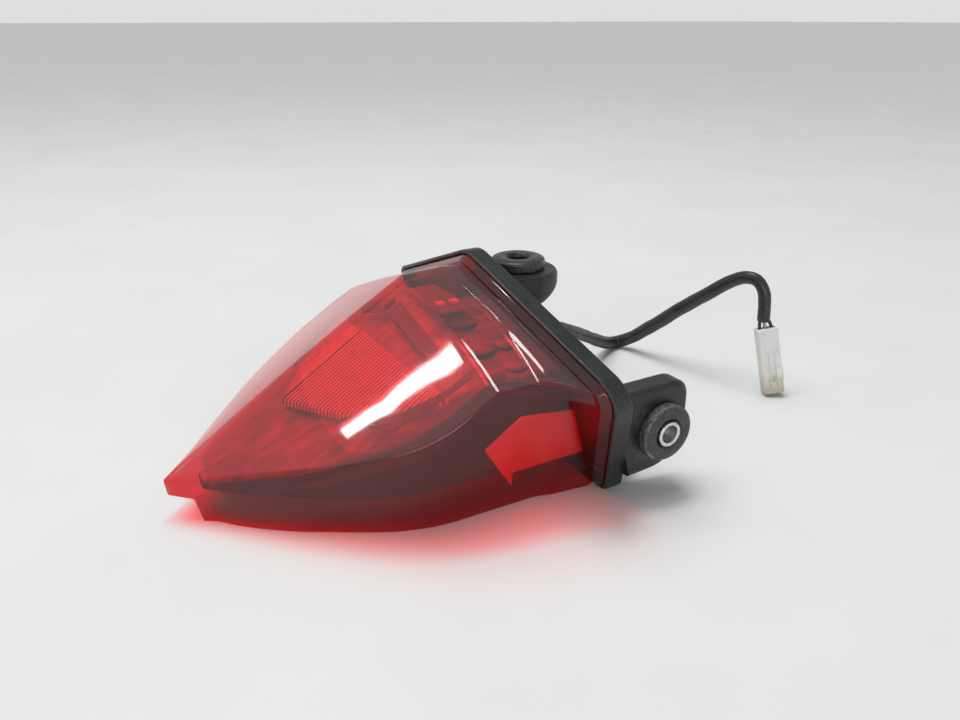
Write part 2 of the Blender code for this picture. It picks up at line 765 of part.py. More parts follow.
def make_gland(material):
    """Rubber cable gland: a flange on each side of the rear wall and a tapered nose."""
    wall = normal_depth(TUB_BACK - TUB_FLOOR) + 2 * GAP
    profile = [
        (-1.8 - GAP, 2.3),
        (-1.8 - GAP, 5.6),
        (-GAP, 6.0),
        (-GAP, 4.3),
        (wall - GAP, 4.3),
        (wall - GAP, 6.4),
        (wall + 1.6, 6.2),
        (wall + 2.2, 5.2),
        (GLAND_LENGTH, 3.6),
        (GLAND_LENGTH, 2.3),
    ]
    gland = turned("cable_gland", profile, 24, material)
    smooth(gland)
    return place(gland, exit_point(0.0), rim_rotation())


def make_vent(material):
    """Breather cap pressed into the rear wall."""
    outside = normal_depth(TUB_BACK - TUB_FLOOR) + GAP
    profile = [(-0.8, 0.6), (-0.8, 2.2), (outside, 2.3), (outside, 4.6)]
    profile += [(outside + 1.4, 4.6), (outside + 2.2, 3.8), (outside + 2.2, 0.6)]
    cap = solid_turned("vent_cap", profile, 20)
    cap.data.materials.append(material)
    smooth(cap)
    start = Vector(rim_point(-EXIT_Y, EXIT_Z, 0.0))
    return place(cap, start + exit_axis() * normal_depth(TUB_FLOOR), rim_rotation())


def curve_tube(name, points, radius, resolution, material):
    curve = bpy.data.curves.new(name, "CURVE")
    curve.dimensions = "3D"
    curve.bevel_depth = radius * MM
    curve.bevel_resolution = resolution
    curve.use_fill_caps = True
    curve.materials.append(material)
    spline = curve.splines.new("POLY")
    spline.points.add(len(points) - 1)
    for point, place_ in zip(spline.points, points):
        point.co = (*(Vector(place_) * MM), 1.0)
    obj = bpy.data.objects.new(name, curve)
    bpy.context.scene.collection.objects.link(obj)
    return obj


def smooth_path(points, step):
    """Points about a step apart on a Catmull-Rom curve through the given points."""
    first = points[0] * 2 - points[1]
    last = points[-1] * 2 - points[-2]
    chain = [first] + points + [last]
    path = [points[0]]
    for i in range(1, len(chain) - 2):
        p0, p1, p2, p3 = chain[i - 1:i + 3]
        count = max(1, round((p2 - p1).length / step))
        for k in range(1, count + 1):
            t = k / count
            tangent_a = (p2 - p0) * 0.5
            tangent_b = (p3 - p1) * 0.5
            path.append(
                p1 * (2 * t**3 - 3 * t**2 + 1) + tangent_a * (t**3 - 2 * t**2 + t)
                + p2 * (3 * t**2 - 2 * t**3) + tangent_b * (t**3 - t**2)
            )
    return path


def along_point(point):
    return Vector((RIM_X + point[0], point[1], point[2]))


def make_cord(material):
    start = exit_point(GLAND_LENGTH + GAP)
    lead = start + exit_axis() * 4.0
    route = [start, lead] + [along_point(p) for p in CORD_ROUTE] + [along_point(CORD_END)]
    return curve_tube("cord", smooth_path(route, CORD_STEP), CORD_DIAMETER / 2, 2, material)


def connector_frame():
    """Foot, rotation and length of the connector; local Z runs from its foot to its top."""
    foot = along_point((*CONNECTOR_FOOT, 0.0))
    top = along_point(CONNECTOR_TOP)
    up = (top - foot).normalized()
    side = Vector((0.866, -0.5, 0.0))
    side = (side - up * side.dot(up)).normalized()
    depth = up.cross(side)
    rotation = Matrix((side, depth, up)).transposed()
    return foot, rotation, (top - foot).length


def make_wires(materials):
    foot, rotation, length = connector_frame()
    side = rotation.col[0]
    up = rotation.col[2]
    end = along_point(CORD_END)
    for index, (name, material) in enumerate(materials):
        offset = side * ((index - 1) * WIRE_SPREAD)
        spread = side * ((index - 1) * CAVITY_PITCH)
        start = end - up * 1.1 + offset
        finish = foot + up * (length - 4.0) + spread
        middle = start.lerp(finish, 0.5) + up * 0.4
        curve_tube(name, [start, middle, finish], WIRE_RADIUS, 2, material)


def make_connector(material):
    """Three-way nylon housing with a cavity for each terminal, standing on its mating end."""
    foot, rotation, length = connector_frame()
    lift = 0.5 * CONNECTOR_DEPTH * math.sqrt(1.0 - rotation.col[2].z ** 2) + 0.6
    body = box("connector_housing", (CONNECTOR_WIDTH, CONNECTOR_DEPTH, length - lift), material)
    bevel(body, 0.5, segments=2)
    place(body, foot + rotation.col[2] * (length + lift) / 2, rotation)
    for index in (-1, 0, 1):
        hole = box(f"cutter_cavity_{index}", (CAVITY, 3.2, length + 10.0))
        centre = foot + rotation.col[2] * length / 2 + rotation.col[0] * index * CAVITY_PITCH
        cut(body, place(hole, centre, rotation))
    latch = box("cutter_latch", (1.2, 2.4, 5.0))
    centre = foot + rotation.col[2] * 10.0 + rotation.col[0] * (CONNECTOR_WIDTH / 2 + 0.3)
    unite(body, place(latch, centre, rotation))
    return body


def make_terminals(material):
    foot, rotation, _ = connector_frame()
    for index, name in ((-1, "terminal_1"), (0, "terminal_2"), (1, "terminal_3")):
        terminal = box(name, (1.2, 1.6, 14.0), material)
        centre = foot + rotation.col[2] * 12.0 + rotation.col[0] * index * CAVITY_PITCH
        place(terminal, centre, rotation)


def make_inner_leads(material):
    """Three short leads from the gland to the board header."""
    up = rim_rotation() @ Vector((0.0, 0.0, 1.0))
    depth = BOARD_FRONT + BOARD_THICKNESS + GAP + 1.7
    for index, name in ((-1, "inner_lead_1"), (0, "inner_lead_2"), (1, "inner_lead_3")):
        start = exit_point(-3.0) + up * index * 1.5
        finish = Vector(rim_point(9.2, 30.0 + index * 1.5, depth))
        middle = start.lerp(finish, 0.5)
        curve_tube(name, [start, middle, finish], 0.6, 2, material)


def main():
    clear_scene()
    red = make_material("red acrylic", (0.55, 0.01, 0.015), 0.05, transmission=0.9)
    deep_red = make_material("red diffuser", (0.6, 0.02, 0.02), 0.2, transmission=0.5)
    black = make_material("black moulding", (0.035, 0.037, 0.04), 0.45)
    rubber = make_material("rubber", (0.05, 0.052, 0.055), 0.7)
    zinc = make_material("zinc steel", (0.72, 0.74, 0.72), 0.35, metallic=1.0)
    sealant = make_material("sealant", (0.12, 0.12, 0.12), 0.8)
    smoke = make_material("carrier plastic", (0.28, 0.02, 0.02), 0.3)
    reflector = make_material("satin reflector", (0.8, 0.8, 0.8), 0.35)
    board = make_material("board", (0.75, 0.76, 0.74), 0.5)
    led = make_material("led package", (0.85, 0.8, 0.55), 0.4)
    nylon = make_material("nylon", (0.82, 0.83, 0.8), 0.4)
    brass = make_material("tinned brass", (0.75, 0.68, 0.5), 0.3, metallic=1.0)
    vinyl = make_material("vinyl sleeve", (0.04, 0.042, 0.045), 0.5)
    grey = make_material("grey insulation", (0.6, 0.6, 0.6), 0.5)
    brown = make_material("brown insulation", (0.1, 0.05, 0.03), 0.5)

    make_lens(red)
    make_housing(black)
    make_ring("seal_bead", 3.1, 5.7, FLANGE_BACK + GAP, GROOVE_FLOOR - GAP, sealant)
    make_carrier(smoke)
    make_facet_plates(deep_red)
    make_side_reflectors(reflector)
    make_main_board(board)
    make_main_leds(led)
    make_crown_board(board)
    make_crown_leds(led)
    make_components(black)
    make_header(nylon)
    make_board_screws(zinc)
    make_grommets(rubber)
    make_sleeves(zinc)
    make_gland(rubber)
    make_vent(black)
    make_inner_leads(vinyl)
    make_cord(vinyl)
    make_wires((("wire_black", vinyl), ("wire_grey", grey), ("wire_brown", brown)))
    make_connector(nylon)
    make_terminals(brass)


main()
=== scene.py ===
"""Looks of the motorcycle tail light: clear red lens, black housing, optics, mounts and pigtail.

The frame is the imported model: +X from the lens tip to the mounting lugs, +Z up, Y = 0 the middle.
Shapes are worked out in millimetres and turned into metres when a mesh is made.
"""

import math

import bmesh
import bpy
from mathutils import Matrix, Vector, noise


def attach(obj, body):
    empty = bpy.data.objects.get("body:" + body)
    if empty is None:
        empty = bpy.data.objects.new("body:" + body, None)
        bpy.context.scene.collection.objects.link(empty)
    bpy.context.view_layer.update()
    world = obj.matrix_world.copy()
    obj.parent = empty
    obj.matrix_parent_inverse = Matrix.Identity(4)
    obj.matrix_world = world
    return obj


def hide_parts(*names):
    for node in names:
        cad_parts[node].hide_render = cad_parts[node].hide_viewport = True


MM = 0.001
GAP = 0.3  # kept between pieces that touch
SIDES = ((1, "left"), (-1, "right"))
ORIGIN = (0.0, 0.0, 0.0)
UPRIGHT = Matrix.Rotation(-math.pi / 2, 3, "Y")  # turns local X up

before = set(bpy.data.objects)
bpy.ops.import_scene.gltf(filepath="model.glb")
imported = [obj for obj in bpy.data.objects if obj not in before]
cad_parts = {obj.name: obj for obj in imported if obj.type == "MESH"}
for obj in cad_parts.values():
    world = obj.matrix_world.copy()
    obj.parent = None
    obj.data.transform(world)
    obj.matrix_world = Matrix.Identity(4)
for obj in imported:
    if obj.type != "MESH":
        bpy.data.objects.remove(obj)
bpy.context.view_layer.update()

# Rim and housing, as in the part's source
RIM_X = 30.4
RIM_TOP = 75.7
RIM_APEX_Z = 76.3
RIM_WIDE = (79.5, 47.6)
RIM_FOOT_Y = 60.0
RIM_LEAN = 0.295
RIM_RADII = (12.0, 9.0, 5.0)  # apex, wide corner, foot
LEAN_ANGLE = math.atan(RIM_LEAN)
RIM_FRONT = -1.0
RIM_BACK = 6.2
GROOVE_FLOOR = 4.9
RIM_WALL = 1.5
TUB_BACK = 20.0
TUB_APEX_Z = 52.5
TUB_WIDE = (54.0, 34.0)
TUB_FOOT = (50.0, 7.0)
TUB_RADII = (10.0, 8.0, 4.0)
TUB_WALL = 2.2
TUB_FLOOR = 18.0
WALL_INSIDE = TUB_FLOOR * math.cos(LEAN_ANGLE)  # rear wall's faces, behind the rim plane
WALL_OUTSIDE = TUB_BACK * math.cos(LEAN_ANGLE)
WALL_THICKNESS = (TUB_BACK - TUB_FLOOR) * math.cos(LEAN_ANGLE)

# Lens stations: along, edge y, edge z, band height, wall y
LENS_STATIONS = (
    (-113.4, 1.0, 13.1, 3.8, 7.8),
    (-103.4, 9.9, 16.6, 5.0, 9.1),
    (-95.6, 17.6, 19.2, 5.8, 17.0),
    (-87.9, 24.9, 21.8, 6.4, 23.8),
    (-79.2, 33.2, 24.6, 6.4, 30.2),
    (-70.6, 40.8, 27.2, 5.9, 35.4),
    (-64.4, 45.9, 29.0, 4.9, 39.2),
    (-58.2, 50.3, 31.0, 4.1, 42.7),
    (-52.4, 53.9, 33.1, 4.0, 45.6),
    (-47.8, 56.4, 35.0, 3.9, 47.2),
    (-43.4, 57.9, 37.0, 3.2, 48.6),
    (-38.8, 58.9, 39.3, 2.2, 49.4),
    (-34.0, 59.3, 42.0, 1.5, 49.9),
    (-28.9, 59.4, 45.0, 1.2, 50.0),
    (-22.2, 59.4, 48.6, 1.0, 50.0),
    (-8.7, 60.4, 48.8, 4.6, 50.2),
    (-3.9, 61.3, 48.9, 6.2, 50.3),
    (5.2, 69.7, 46.0, 4.5, 53.0),
)
SHOULDER, LEG, RING, FLANGE = 14, 15, 16, 17  # stations of the roof's creases
STEP = 0.25  # how far each small step of the ring reaches, in stations
KEEL_START = (-113.8, 13.3)
KEEL_END = (-25.5, 70.6)
KEEL_BULGE = 1.6
CROWN_Z = 71.0
FACET_BULGE = 0.7
NOSE_CAP_ALONG = -105.0
RING_CROWN = -10.6  # along-position of the ring on the keel
RING_SWEEP = 6.7
FLANGE_CROWN = -2.2
FLANGE_SWEEP = 7.4
LENS_WALL = 2.4
ROOF_WALL = 1.12 * LENS_WALL  # the wall measured upright through the sloping roof
ROOF_BOW = 1.6  # how far the roof's creases bow between crown and edge
LENS_RADII = (2.2, 0.9, 0.5, 0.7, 0.5)  # keel, edge, foot of the band, top and foot of the wall
CAVITY_RADII = (2.0, 0.5, 0.1, 0.6, 1.2)
FLANGE_FRONT = -3.6
FLANGE_EDGE = -1.0
FLANGE_BACK = 2.6
FLANGE_INSET = 1.8
FLANGE_CHAMFER_INSET = 4.0
CAVITY_SILL = 6.4

# Mounting lugs
LUG_RADIUS = 15.0
LUG_PLATE = 5.0
LUG_HOLE_RADIUS = 7.0
LUG_SEAT_RADIUS = 9.9
LUG_ROOT_DEPTH = 5.5
TOP_LUG = (RIM_X + 21.9, 0.0, 66.0)
TOP_LUG_LOW_Z = 55.2
SIDE_LUG_X = RIM_X + 37.6
SIDE_LUG_Z = 23.9
SIDE_LUG_Y = (57.5, 67.2)
SIDE_LUG_CORNERS = (  # (x, z) from the grommet's axis
    (-24.0, -16.0),
    (2.0, -15.0),
    (11.6, -8.0),
    (11.6, 16.2),
    (-24.0, 16.2),
)
SIDE_LUG_CORNER_RADIUS = 6.5
SIDE_LUG_MIDDLE = Vector((-6.0, 0.0))  # its outline shrinks towards this point
SIDE_LUG_REACH = 16.0  # from there to its edge
SIDE_LUG_EDGE = 2.0
TOP_LUG_EDGE = 1.8
TOP_LUG_EXTRA = 0.5  # thickness beyond the plate
TOP_LUG_TAPER = 0.42
GROMMET_RADIUS = 10.1
GROMMET_FLANGE = 4.2
GROMMET_INNER_RADIUS = 9.4
GROMMET_INNER_FLANGE = 3.2
SLEEVE_RADII = (4.5, 3.2)
SEAM_ANGLE = -0.7
TOP_BORE_RADIUS = 3.9

# Cable exit, pigtail and connector, as (along, y, z)
EXIT_Y = 20.0
EXIT_Z = 25.0
GLAND_HOLE_RADIUS = 4.6
VENT_HOLE_RADIUS = 2.6
WALL_HOLE_SPAN = (14.0, 30.0)
GLAND_LENGTH = 12.0
GLAND_RIBS = 4
VENT_NOTCHES = 16
CORD_DIAMETER = 6.0
CORD_ROUTE = (
    (54.0, 20.6, 29.2),
    (61.0, 23.2, 26.2),
    (70.0, 27.6, 21.6),
    (79.0, 31.9, 16.8),
    (88.0, 35.8, 11.8),
    (97.0, 39.8, 7.2),
    (104.5, 43.2, 3.9),
    (110.6, 43.6, 3.3),
    (113.6, 37.4, 7.0),
    (115.4, 29.6, 13.4),
    (117.4, 22.2, 19.6),
    (119.6, 14.4, 26.8),
    (122.3, 5.8, 34.0),
    (124.6, -2.4, 40.8),
    (126.8, -9.4, 46.4),
    (128.4, -15.2, 49.6),
    (130.0, -20.6, 49.6),
    (131.1, -24.0, 45.6),
    (131.6, -25.2, 40.0),
    (131.9, -25.6, 32.6),
)
CONNECTOR_FOOT = (134.5, -34.1, 0.0)
CONNECTOR_TOP = (132.2, -26.8, 29.6)
CONNECTOR_SIZE = (8.6, 6.2)
CONNECTOR_SIDE = Vector((0.866, -0.5, 0.0))  # its wide face turns to the camera
CAVITY_PITCH = 2.6
WIRE_RADIUS = 0.7


# ---------------------------------------------------------------- mesh helpers

ARC = 6  # segments in a rounded corner
BEVEL_ANGLE = 30.0
EVEN_ANGLE = 50.0  # sharper edges than this stay sharp when a piece is shaded


def add_object(name, data):
    obj = bpy.data.objects.new(name, data)
    bpy.context.scene.collection.objects.link(obj)
    return obj


def add_mesh(name, points, faces, smooth=True):
    """A mesh object from millimetre points, with outward faces."""
    mesh = bpy.data.meshes.new(name)
    mesh.from_pydata([Vector(p) * MM for p in points], [], faces)
    work = bmesh.new()
    work.from_mesh(mesh)
    bmesh.ops.recalc_face_normals(work, faces=work.faces)
    work.to_mesh(mesh)
    work.free()
    if smooth:
        mesh.shade_smooth()
    return add_object(name, mesh)


def loft(name, sections, capped=True, smooth=True):
    """A skin through loops with equal point counts."""
    count = len(sections[0])
    points = [p for section in sections for p in section]
    faces = []
    for row in range(len(sections) - 1):
        base = row * count
        for i in range(count):
            j = (i + 1) % count
            faces.append((base + i, base + j, base + count + j, base + count + i))
    if capped:
        faces.append(tuple(range(count)))
        faces.append(tuple(range(len(points) - count, len(points))))
    return add_mesh(name, points, faces, smooth)


def evaluated_copy(obj):
    """Bake an object's modifiers into its own mesh."""
    graph = bpy.context.evaluated_depsgraph_get()
    mesh = bpy.data.meshes.new_from_object(obj.evaluated_get(graph))
    obj.modifiers.clear()
    obj.data = mesh
    return obj


def boolean(obj, tool, operation):
    """Combine two solids; the tool is used up."""
    modifier = obj.modifiers.new(operation, "BOOLEAN")
    modifier.operation = operation
    modifier.object = tool
    modifier.solver = "EXACT"
    evaluated_copy(obj)
    bpy.data.objects.remove(tool, do_unlink=True)
    return obj


def cut(obj, tool):
    return boolean(obj, tool, "DIFFERENCE")


def fuse(obj, tool):
    return boolean(obj, tool, "UNION")


def bevel(obj, width, segments=3):
    modifier = obj.modifiers.new("Rounded edges", "BEVEL")
    modifier.width = width * MM
    modifier.segments = segments
    modifier.limit_method = "ANGLE"
    modifier.angle_limit = math.radians(BEVEL_ANGLE)
    modifier.use_clamp_overlap = True
    return evaluated_copy(obj)


def even_normals(obj, degrees=EVEN_ANGLE):
    """Smooth shading that keeps flat faces flat beside their rounded edges."""
    obj.data.shade_smooth()
    obj.data.set_sharp_from_angle(angle=math.radians(degrees))
    modifier = obj.modifiers.new("Even normals", "WEIGHTED_NORMAL")
    modifier.keep_sharp = True
    return obj


def turned(name, profile, segments=72):
    """A ring turned about local X; profile holds (x, radius) round the section."""
    points = []
    for step in range(segments):
        angle = math.tau * step / segments
        points += [(x, r * math.cos(angle), r * math.sin(angle)) for x, r in profile]
    count = len(profile)
    faces = []
    for step in range(segments):
        after = (step + 1) % segments
        for i in range(count):
            j = (i + 1) % count
            quad = (step * count + i, step * count + j, after * count + j, after * count + i)
            faces.append(quad)
    return add_mesh(name, points, faces)


def solid_turned(name, profile, segments=32):
    """A turned solid with capped ends."""
    sections = []
    for x, radius in profile:
        angles = (math.tau * step / segments for step in range(segments))
        sections.append([(x, radius * math.cos(a), radius * math.sin(a)) for a in angles])
    return loft(name, sections)


def box(name, size):
    x, y, z = (value / 2 for value in size)
    low = [(-x, -y, -z), (x, -y, -z), (x, y, -z), (-x, y, -z)]
    return loft(name, [low, [(px, py, z) for px, py, _ in low]], smooth=False)


def place(obj, location, rotation=None):
    """Move a mesh to a millimetre location with a rotation matrix, into its own vertices."""
    turn = rotation.to_4x4() if rotation else Matrix.Identity(4)
    obj.data.transform(Matrix.Translation(Vector(location) * MM) @ turn)
    return obj


def corner_curve(before, here, after, radius, steps=ARC):
    """A soft corner at here, reaching up to radius towards each neighbour."""
    back, ahead = before - here, after - here
    reach = min(radius, back.length / 2.2, ahead.length / 2.2)
    if reach < 1e-6:
        return [here.copy() for _ in range(steps + 1)]
    start = here + back.normalized() * reach
    end = here + ahead.normalized() * reach
    shares = (k / steps for k in range(steps + 1))
    return [start * (1 - t) ** 2 + here * 2 * t * (1 - t) + end * t**2 for t in shares]


def round_section(corners, radius, steps=4):
    """Round the corners of a closed 2-D outline."""
    points = []
    for i in range(len(corners)):
        trio = (Vector(corners[k % len(corners)]) for k in (i - 1, i, i + 1))
        points += [tuple(point) for point in corner_curve(*trio, radius, steps)]
    return points


def clamp(value):
    return min(max(value, 0.0), 1.0)


def hermite(p0, p1, p2, p3, t):
    """Between p1 and p2, on the Catmull-Rom curve through four numbers or vectors."""
    slope_a, slope_b = (p2 - p0) / 2, (p3 - p1) / 2
    return (
        p1 * (2 * t**3 - 3 * t**2 + 1) + slope_a * (t**3 - 2 * t**2 + t)
        + p2 * (3 * t**2 - 2 * t**3) + slope_b * (t**3 - t**2)
    )


def join(name, objects):
    """One object from several, for pieces made of many small solids."""
    work = bmesh.new()
    for obj in objects:
        mesh = obj.data.copy()
        mesh.transform(obj.matrix_world)
        work.from_mesh(mesh)
        bpy.data.meshes.remove(mesh)
    mesh = bpy.data.meshes.new(name)
    work.to_mesh(mesh)
    work.free()
    for obj in objects:
        bpy.data.objects.remove(obj, do_unlink=True)
    return add_object(name, mesh)


def drill(obj, radius, span, location, turn, segments=64):
    """A round hole along the local X of turn, between the two positions of span."""
    hole = solid_turned("hole", [(position, radius) for position in span], segments)
    return cut(obj, place(hole, location, turn))


def finish_piece(obj, material, node):
    """Give a piece its material, attach it to the root body, and hide the CAD node it stands for."""
    obj.data.materials.clear()
    obj.data.materials.append(material)
    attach(obj, "root")
    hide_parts(node)
    return obj


def finish_even(obj, name, material, node, degrees=EVEN_ANGLE):
    """Name and finish a piece whose flat faces stay flat."""
    obj.name = name
    return finish_piece(even_normals(obj, degrees), material, node)


# ---------------------------------------------------------------- frame geometry


def lean_x(z):
    return RIM_X + RIM_LEAN * (RIM_TOP - z)


def rim_point(y, z, depth):
    return (lean_x(z) + depth, y, z)


def along_point(point):
    """A point given as (along from the rim, y, z)."""
    return Vector((RIM_X + point[0], point[1], point[2]))


def rim_axis():
    """Unit vector behind the rim, along its plane's normal."""
    return rim_rotation() @ Vector((1.0, 0.0, 0.0))


def rim_rotation():
    """Local X along the rim plane's backward normal, local Z up the plane."""
    return Matrix.Rotation(-LEAN_ANGLE, 3, "Y")


def side_turn(side):
    """Turns local X outward, to the left or right side."""
    return Matrix.Rotation(side * math.pi / 2, 3, "Z")


def half_outline(outline, inset):
    """An outline moved inward: arcs at its apex, wide corner and foot, and its foot's middle."""
    apex_z, wide, foot, radii = outline
    corners = [(-wide[0], wide[1]), (0.0, apex_z), wide, foot, (-foot[0], foot[1])]
    moved = []
    for i in (1, 2, 3):
        before, here, after = (Vector(corners[k % 5]) for k in (i - 1, i, i + 1))
        first, second = (here - before).normalized(), (after - here).normalized()
        normal_a = Vector((first.y, -first.x))
        normal_b = Vector((second.y, -second.x))
        bisector = (normal_a + normal_b).normalized()
        moved.append(here + bisector * (inset / bisector.dot(normal_a)))
    apex, wide_in, foot_in = moved
    ends = [Vector((-wide_in.x, wide_in.y)), apex, wide_in, foot_in, Vector((0.0, foot_in.y))]
    arcs = []
    for i in (1, 2, 3):
        radius = max(radii[i - 1] - inset, 0.8)
        arcs.append(corner_arc(ends[i - 1], ends[i], ends[i + 1], radius))
    return arcs, ends[4]


def corner_arc(before, here, after, radius, steps=12):
    to_before, to_after = (before - here).normalized(), (after - here).normalized()
    half = to_before.angle(to_after) / 2
    reach = radius / math.tan(half)
    centre = here + (to_before + to_after).normalized() * (radius / math.sin(half))
    start = here + to_before * reach - centre
    sweep = start.angle_signed(here + to_after * reach - centre)
    return [centre + Matrix.Rotation(-sweep * k / steps, 2) @ start for k in range(steps + 1)]


RIM_OUTLINE = (RIM_APEX_Z, RIM_WIDE, (RIM_FOOT_Y, 0.0), RIM_RADII)
TUB_OUTLINE = (TUB_APEX_Z, TUB_WIDE, TUB_FOOT, TUB_RADII)


# ---------------------------------------------------------------- rounded lofts

INTERIOR = (12, 1, 2, 4, 4)  # points between corners: facet, band, ceiling, wall, floor
CREASE_STEPS = 4


def soft_half(corners, radii):
    """A half loop from keel to floor; every corner but the last is rounded."""
    arcs = []
    for i, here in enumerate(corners[:-1]):
        after = corners[i + 1]
        before = Vector((after.x, -after.y, after.z)) if i == 0 else corners[i - 1]
        arc = corner_curve(before, here, after, radii[i])
        arcs.append(arc[ARC // 2:] if i == 0 else arc)
    points = []
    for i, arc in enumerate(arcs):
        goal = arcs[i + 1][0] if i + 1 < len(arcs) else corners[-1]
        points += arc
        count = INTERIOR[i] + 1
        points += [arc[-1].lerp(goal, k / count) for k in range(1, count)]
    return points + [corners[-1].copy()]


def round_rows(rows, creases):
    """Replace each creased row of a loft by rows that round the crease."""
    result = []
    for i, row in enumerate(rows):
        if i not in creases:
            result.append(row)
            continue
        columns = []
        for before, here, after in zip(rows[i - 1], row, rows[i + 1]):
            points = (Vector(before), Vector(here), Vector(after))
            columns.append(corner_curve(*points, creases[i], CREASE_STEPS))
        result += [list(step) for step in zip(*columns)]
    return result


def mirror_loop(half):
    """A closed loop from a half loop that starts and ends on Y = 0."""
    return [tuple(p) for p in half] + [(p.x, -p.y, p.z) for p in reversed(half[1:-1])]


def zipped_cap(base, count):
    """Faces that close a mirrored loop by joining each point to its mirror image."""
    half = count // 2
    faces = [(base, base + 1, base + count - 1)]
    for k in range(1, half - 1):
        faces.append((base + k, base + k + 1, base + count - k - 1, base + count - k))
    faces.append((base + half - 1, base + half, base + half + 1))
    return faces


# ---------------------------------------------------------------- lens


def catmull(rows, s):
    """Values between stations, on a smooth curve through them."""
    last = len(rows) - 1
    i = min(int(s), last - 1)
    t = s - i
    picked = [rows[min(max(k, 0), last)] for k in (i - 1, i, i + 1, i + 2)]
    return [hermite(*column, t) for column in zip(*picked)]


def station(s):
    if s <= SHOULDER:
        return catmull(LENS_STATIONS[: SHOULDER + 1], s)
    i = min(int(s), len(LENS_STATIONS) - 2)
    t = s - i
    flare = t**1.5 if i == RING else t
    first, second = LENS_STATIONS[i], LENS_STATIONS[i + 1]
    values = [a + (b - a) * flare for a, b in zip(first, second)]
    values[0] = first[0] + (second[0] - first[0]) * t
    return values


def keel_z(along):
    (x0, z0), (x1, z1) = KEEL_START, KEEL_END
    part = clamp((along - x0) / (x1 - x0))
    return z0 + (z1 - z0) * part + KEEL_BULGE * 4 * part * (1 - part)


def ring_line(t):
    """Along-position of the ring's second crease, at a fraction t from crown to edge."""
    return RING_CROWN + RING_SWEEP * (1 - (1 - t) ** 1.8)


def split(t):
    """Width between that crease and its second leg, which leaves it towards the edge."""
    opened = clamp((t - 0.56) / 0.1)
    return 0.5 + 1.5 * opened + 2.8 * max(0.0, (t - 0.66) / 0.34) ** 1.2


def leg_line(t):
    return ring_line(t) - split(t)


def leg_top(t):
    return leg_line(t) + min(0.4, 0.2 * split(t))


def ring_foot(t):
    return ring_line(t) - min(1.2, 0.65 * split(t))


def flange_line(t):
    return FLANGE_CROWN + FLANGE_SWEEP * t


def shoulder_line(t):
    edge = LENS_STATIONS[SHOULDER][0]
    return KEEL_END[0] + (edge - KEEL_END[0]) * t + ROOF_BOW * 4 * t * (1 - t)


def roof_along(s, t):
    """Along-position of the lens roof at station s and a fraction t from keel to edge."""
    along = station(s)[0]
    if s <= SHOULDER:
        keel = along + (KEEL_END[0] - LENS_STATIONS[SHOULDER][0]) * s / SHOULDER
        bow = ROOF_BOW * (s / SHOULDER) ** 3
        return keel + (along - keel) * t + bow * 4 * t * (1 - t)
    i = max(k for k, (start, _) in enumerate(RING_ROWS[:-1]) if start <= s)
    (start, first), (end, second) = RING_ROWS[i], RING_ROWS[i + 1]
    part = (s - start) / (end - start)
    return first(t) * (1 - part) + second(t) * part


RING_ROWS = (
    (SHOULDER, shoulder_line),
    (LEG, leg_line),
    (LEG + STEP, leg_top),
    (RING - STEP, ring_foot),
    (RING, ring_line),
    (FLANGE, flange_line),
)
STEP_RISE = 0.26  # steepness of the two small steps in the ring's roof


def ring_step(s, t):
    """Height that the roof gains over the ring's two small steps."""
    leg_part = clamp((s - LEG) / STEP)
    ring_part = clamp((s - RING + STEP) / STEP)
    rise = leg_part * (leg_top(t) - leg_line(t)) + ring_part * (ring_line(t) - ring_foot(t))
    return STEP_RISE * rise * min(1.0, FLANGE - s) * min(1.0, 12 * (1 - t))


def crown_height(s):
    if s < SHOULDER:
        return keel_z(roof_along(s, 0.0))
    part = min(s - SHOULDER, 1.0)
    return KEEL_END[1] + 0.7 * part - 0.3 * max(0.0, s - RING)


def roof_lift(s, t):
    """Height over the straight line from crown to edge."""
    step = ring_step(s, t) if s > SHOULDER else 0.0
    return FACET_BULGE * 4 * t * (1 - t) + step


def shape_roof(half, s, edge_y):
    """Bend the straight roof columns to their curved plan and crown."""
    for k in range(2 * (ARC // 2) + 1 + INTERIOR[0]):
        t = clamp(half[k].y / edge_y)
        straight = roof_along(s, 0.0) * (1 - t) + roof_along(s, 1.0) * t
        half[k].x += roof_along(s, t) - straight
        half[k].z += roof_lift(s, t)
    return half


def outer_half(s):
    along, edge_y, edge_z, band, wall_y = station(s)
    if s > SHOULDER:
        along = roof_along(s, 1.0)
    wall_x = max(along, NOSE_CAP_ALONG)
    under_z = edge_z - band
    corners = [
        Vector((RIM_X + roof_along(s, 0.0), 0.0, crown_height(s))),
        Vector((RIM_X + along, edge_y, edge_z)),
        Vector((RIM_X + along + 0.4, edge_y + 0.4, under_z)),
        Vector((RIM_X + wall_x - 1.0, wall_y, under_z - 0.4)),
        Vector((RIM_X + wall_x + 1.0, wall_y, 0.0)),
        Vector((RIM_X + wall_x + 1.0, 0.0, 0.0)),
    ]
    return shape_roof(soft_half(corners, LENS_RADII), s, edge_y)


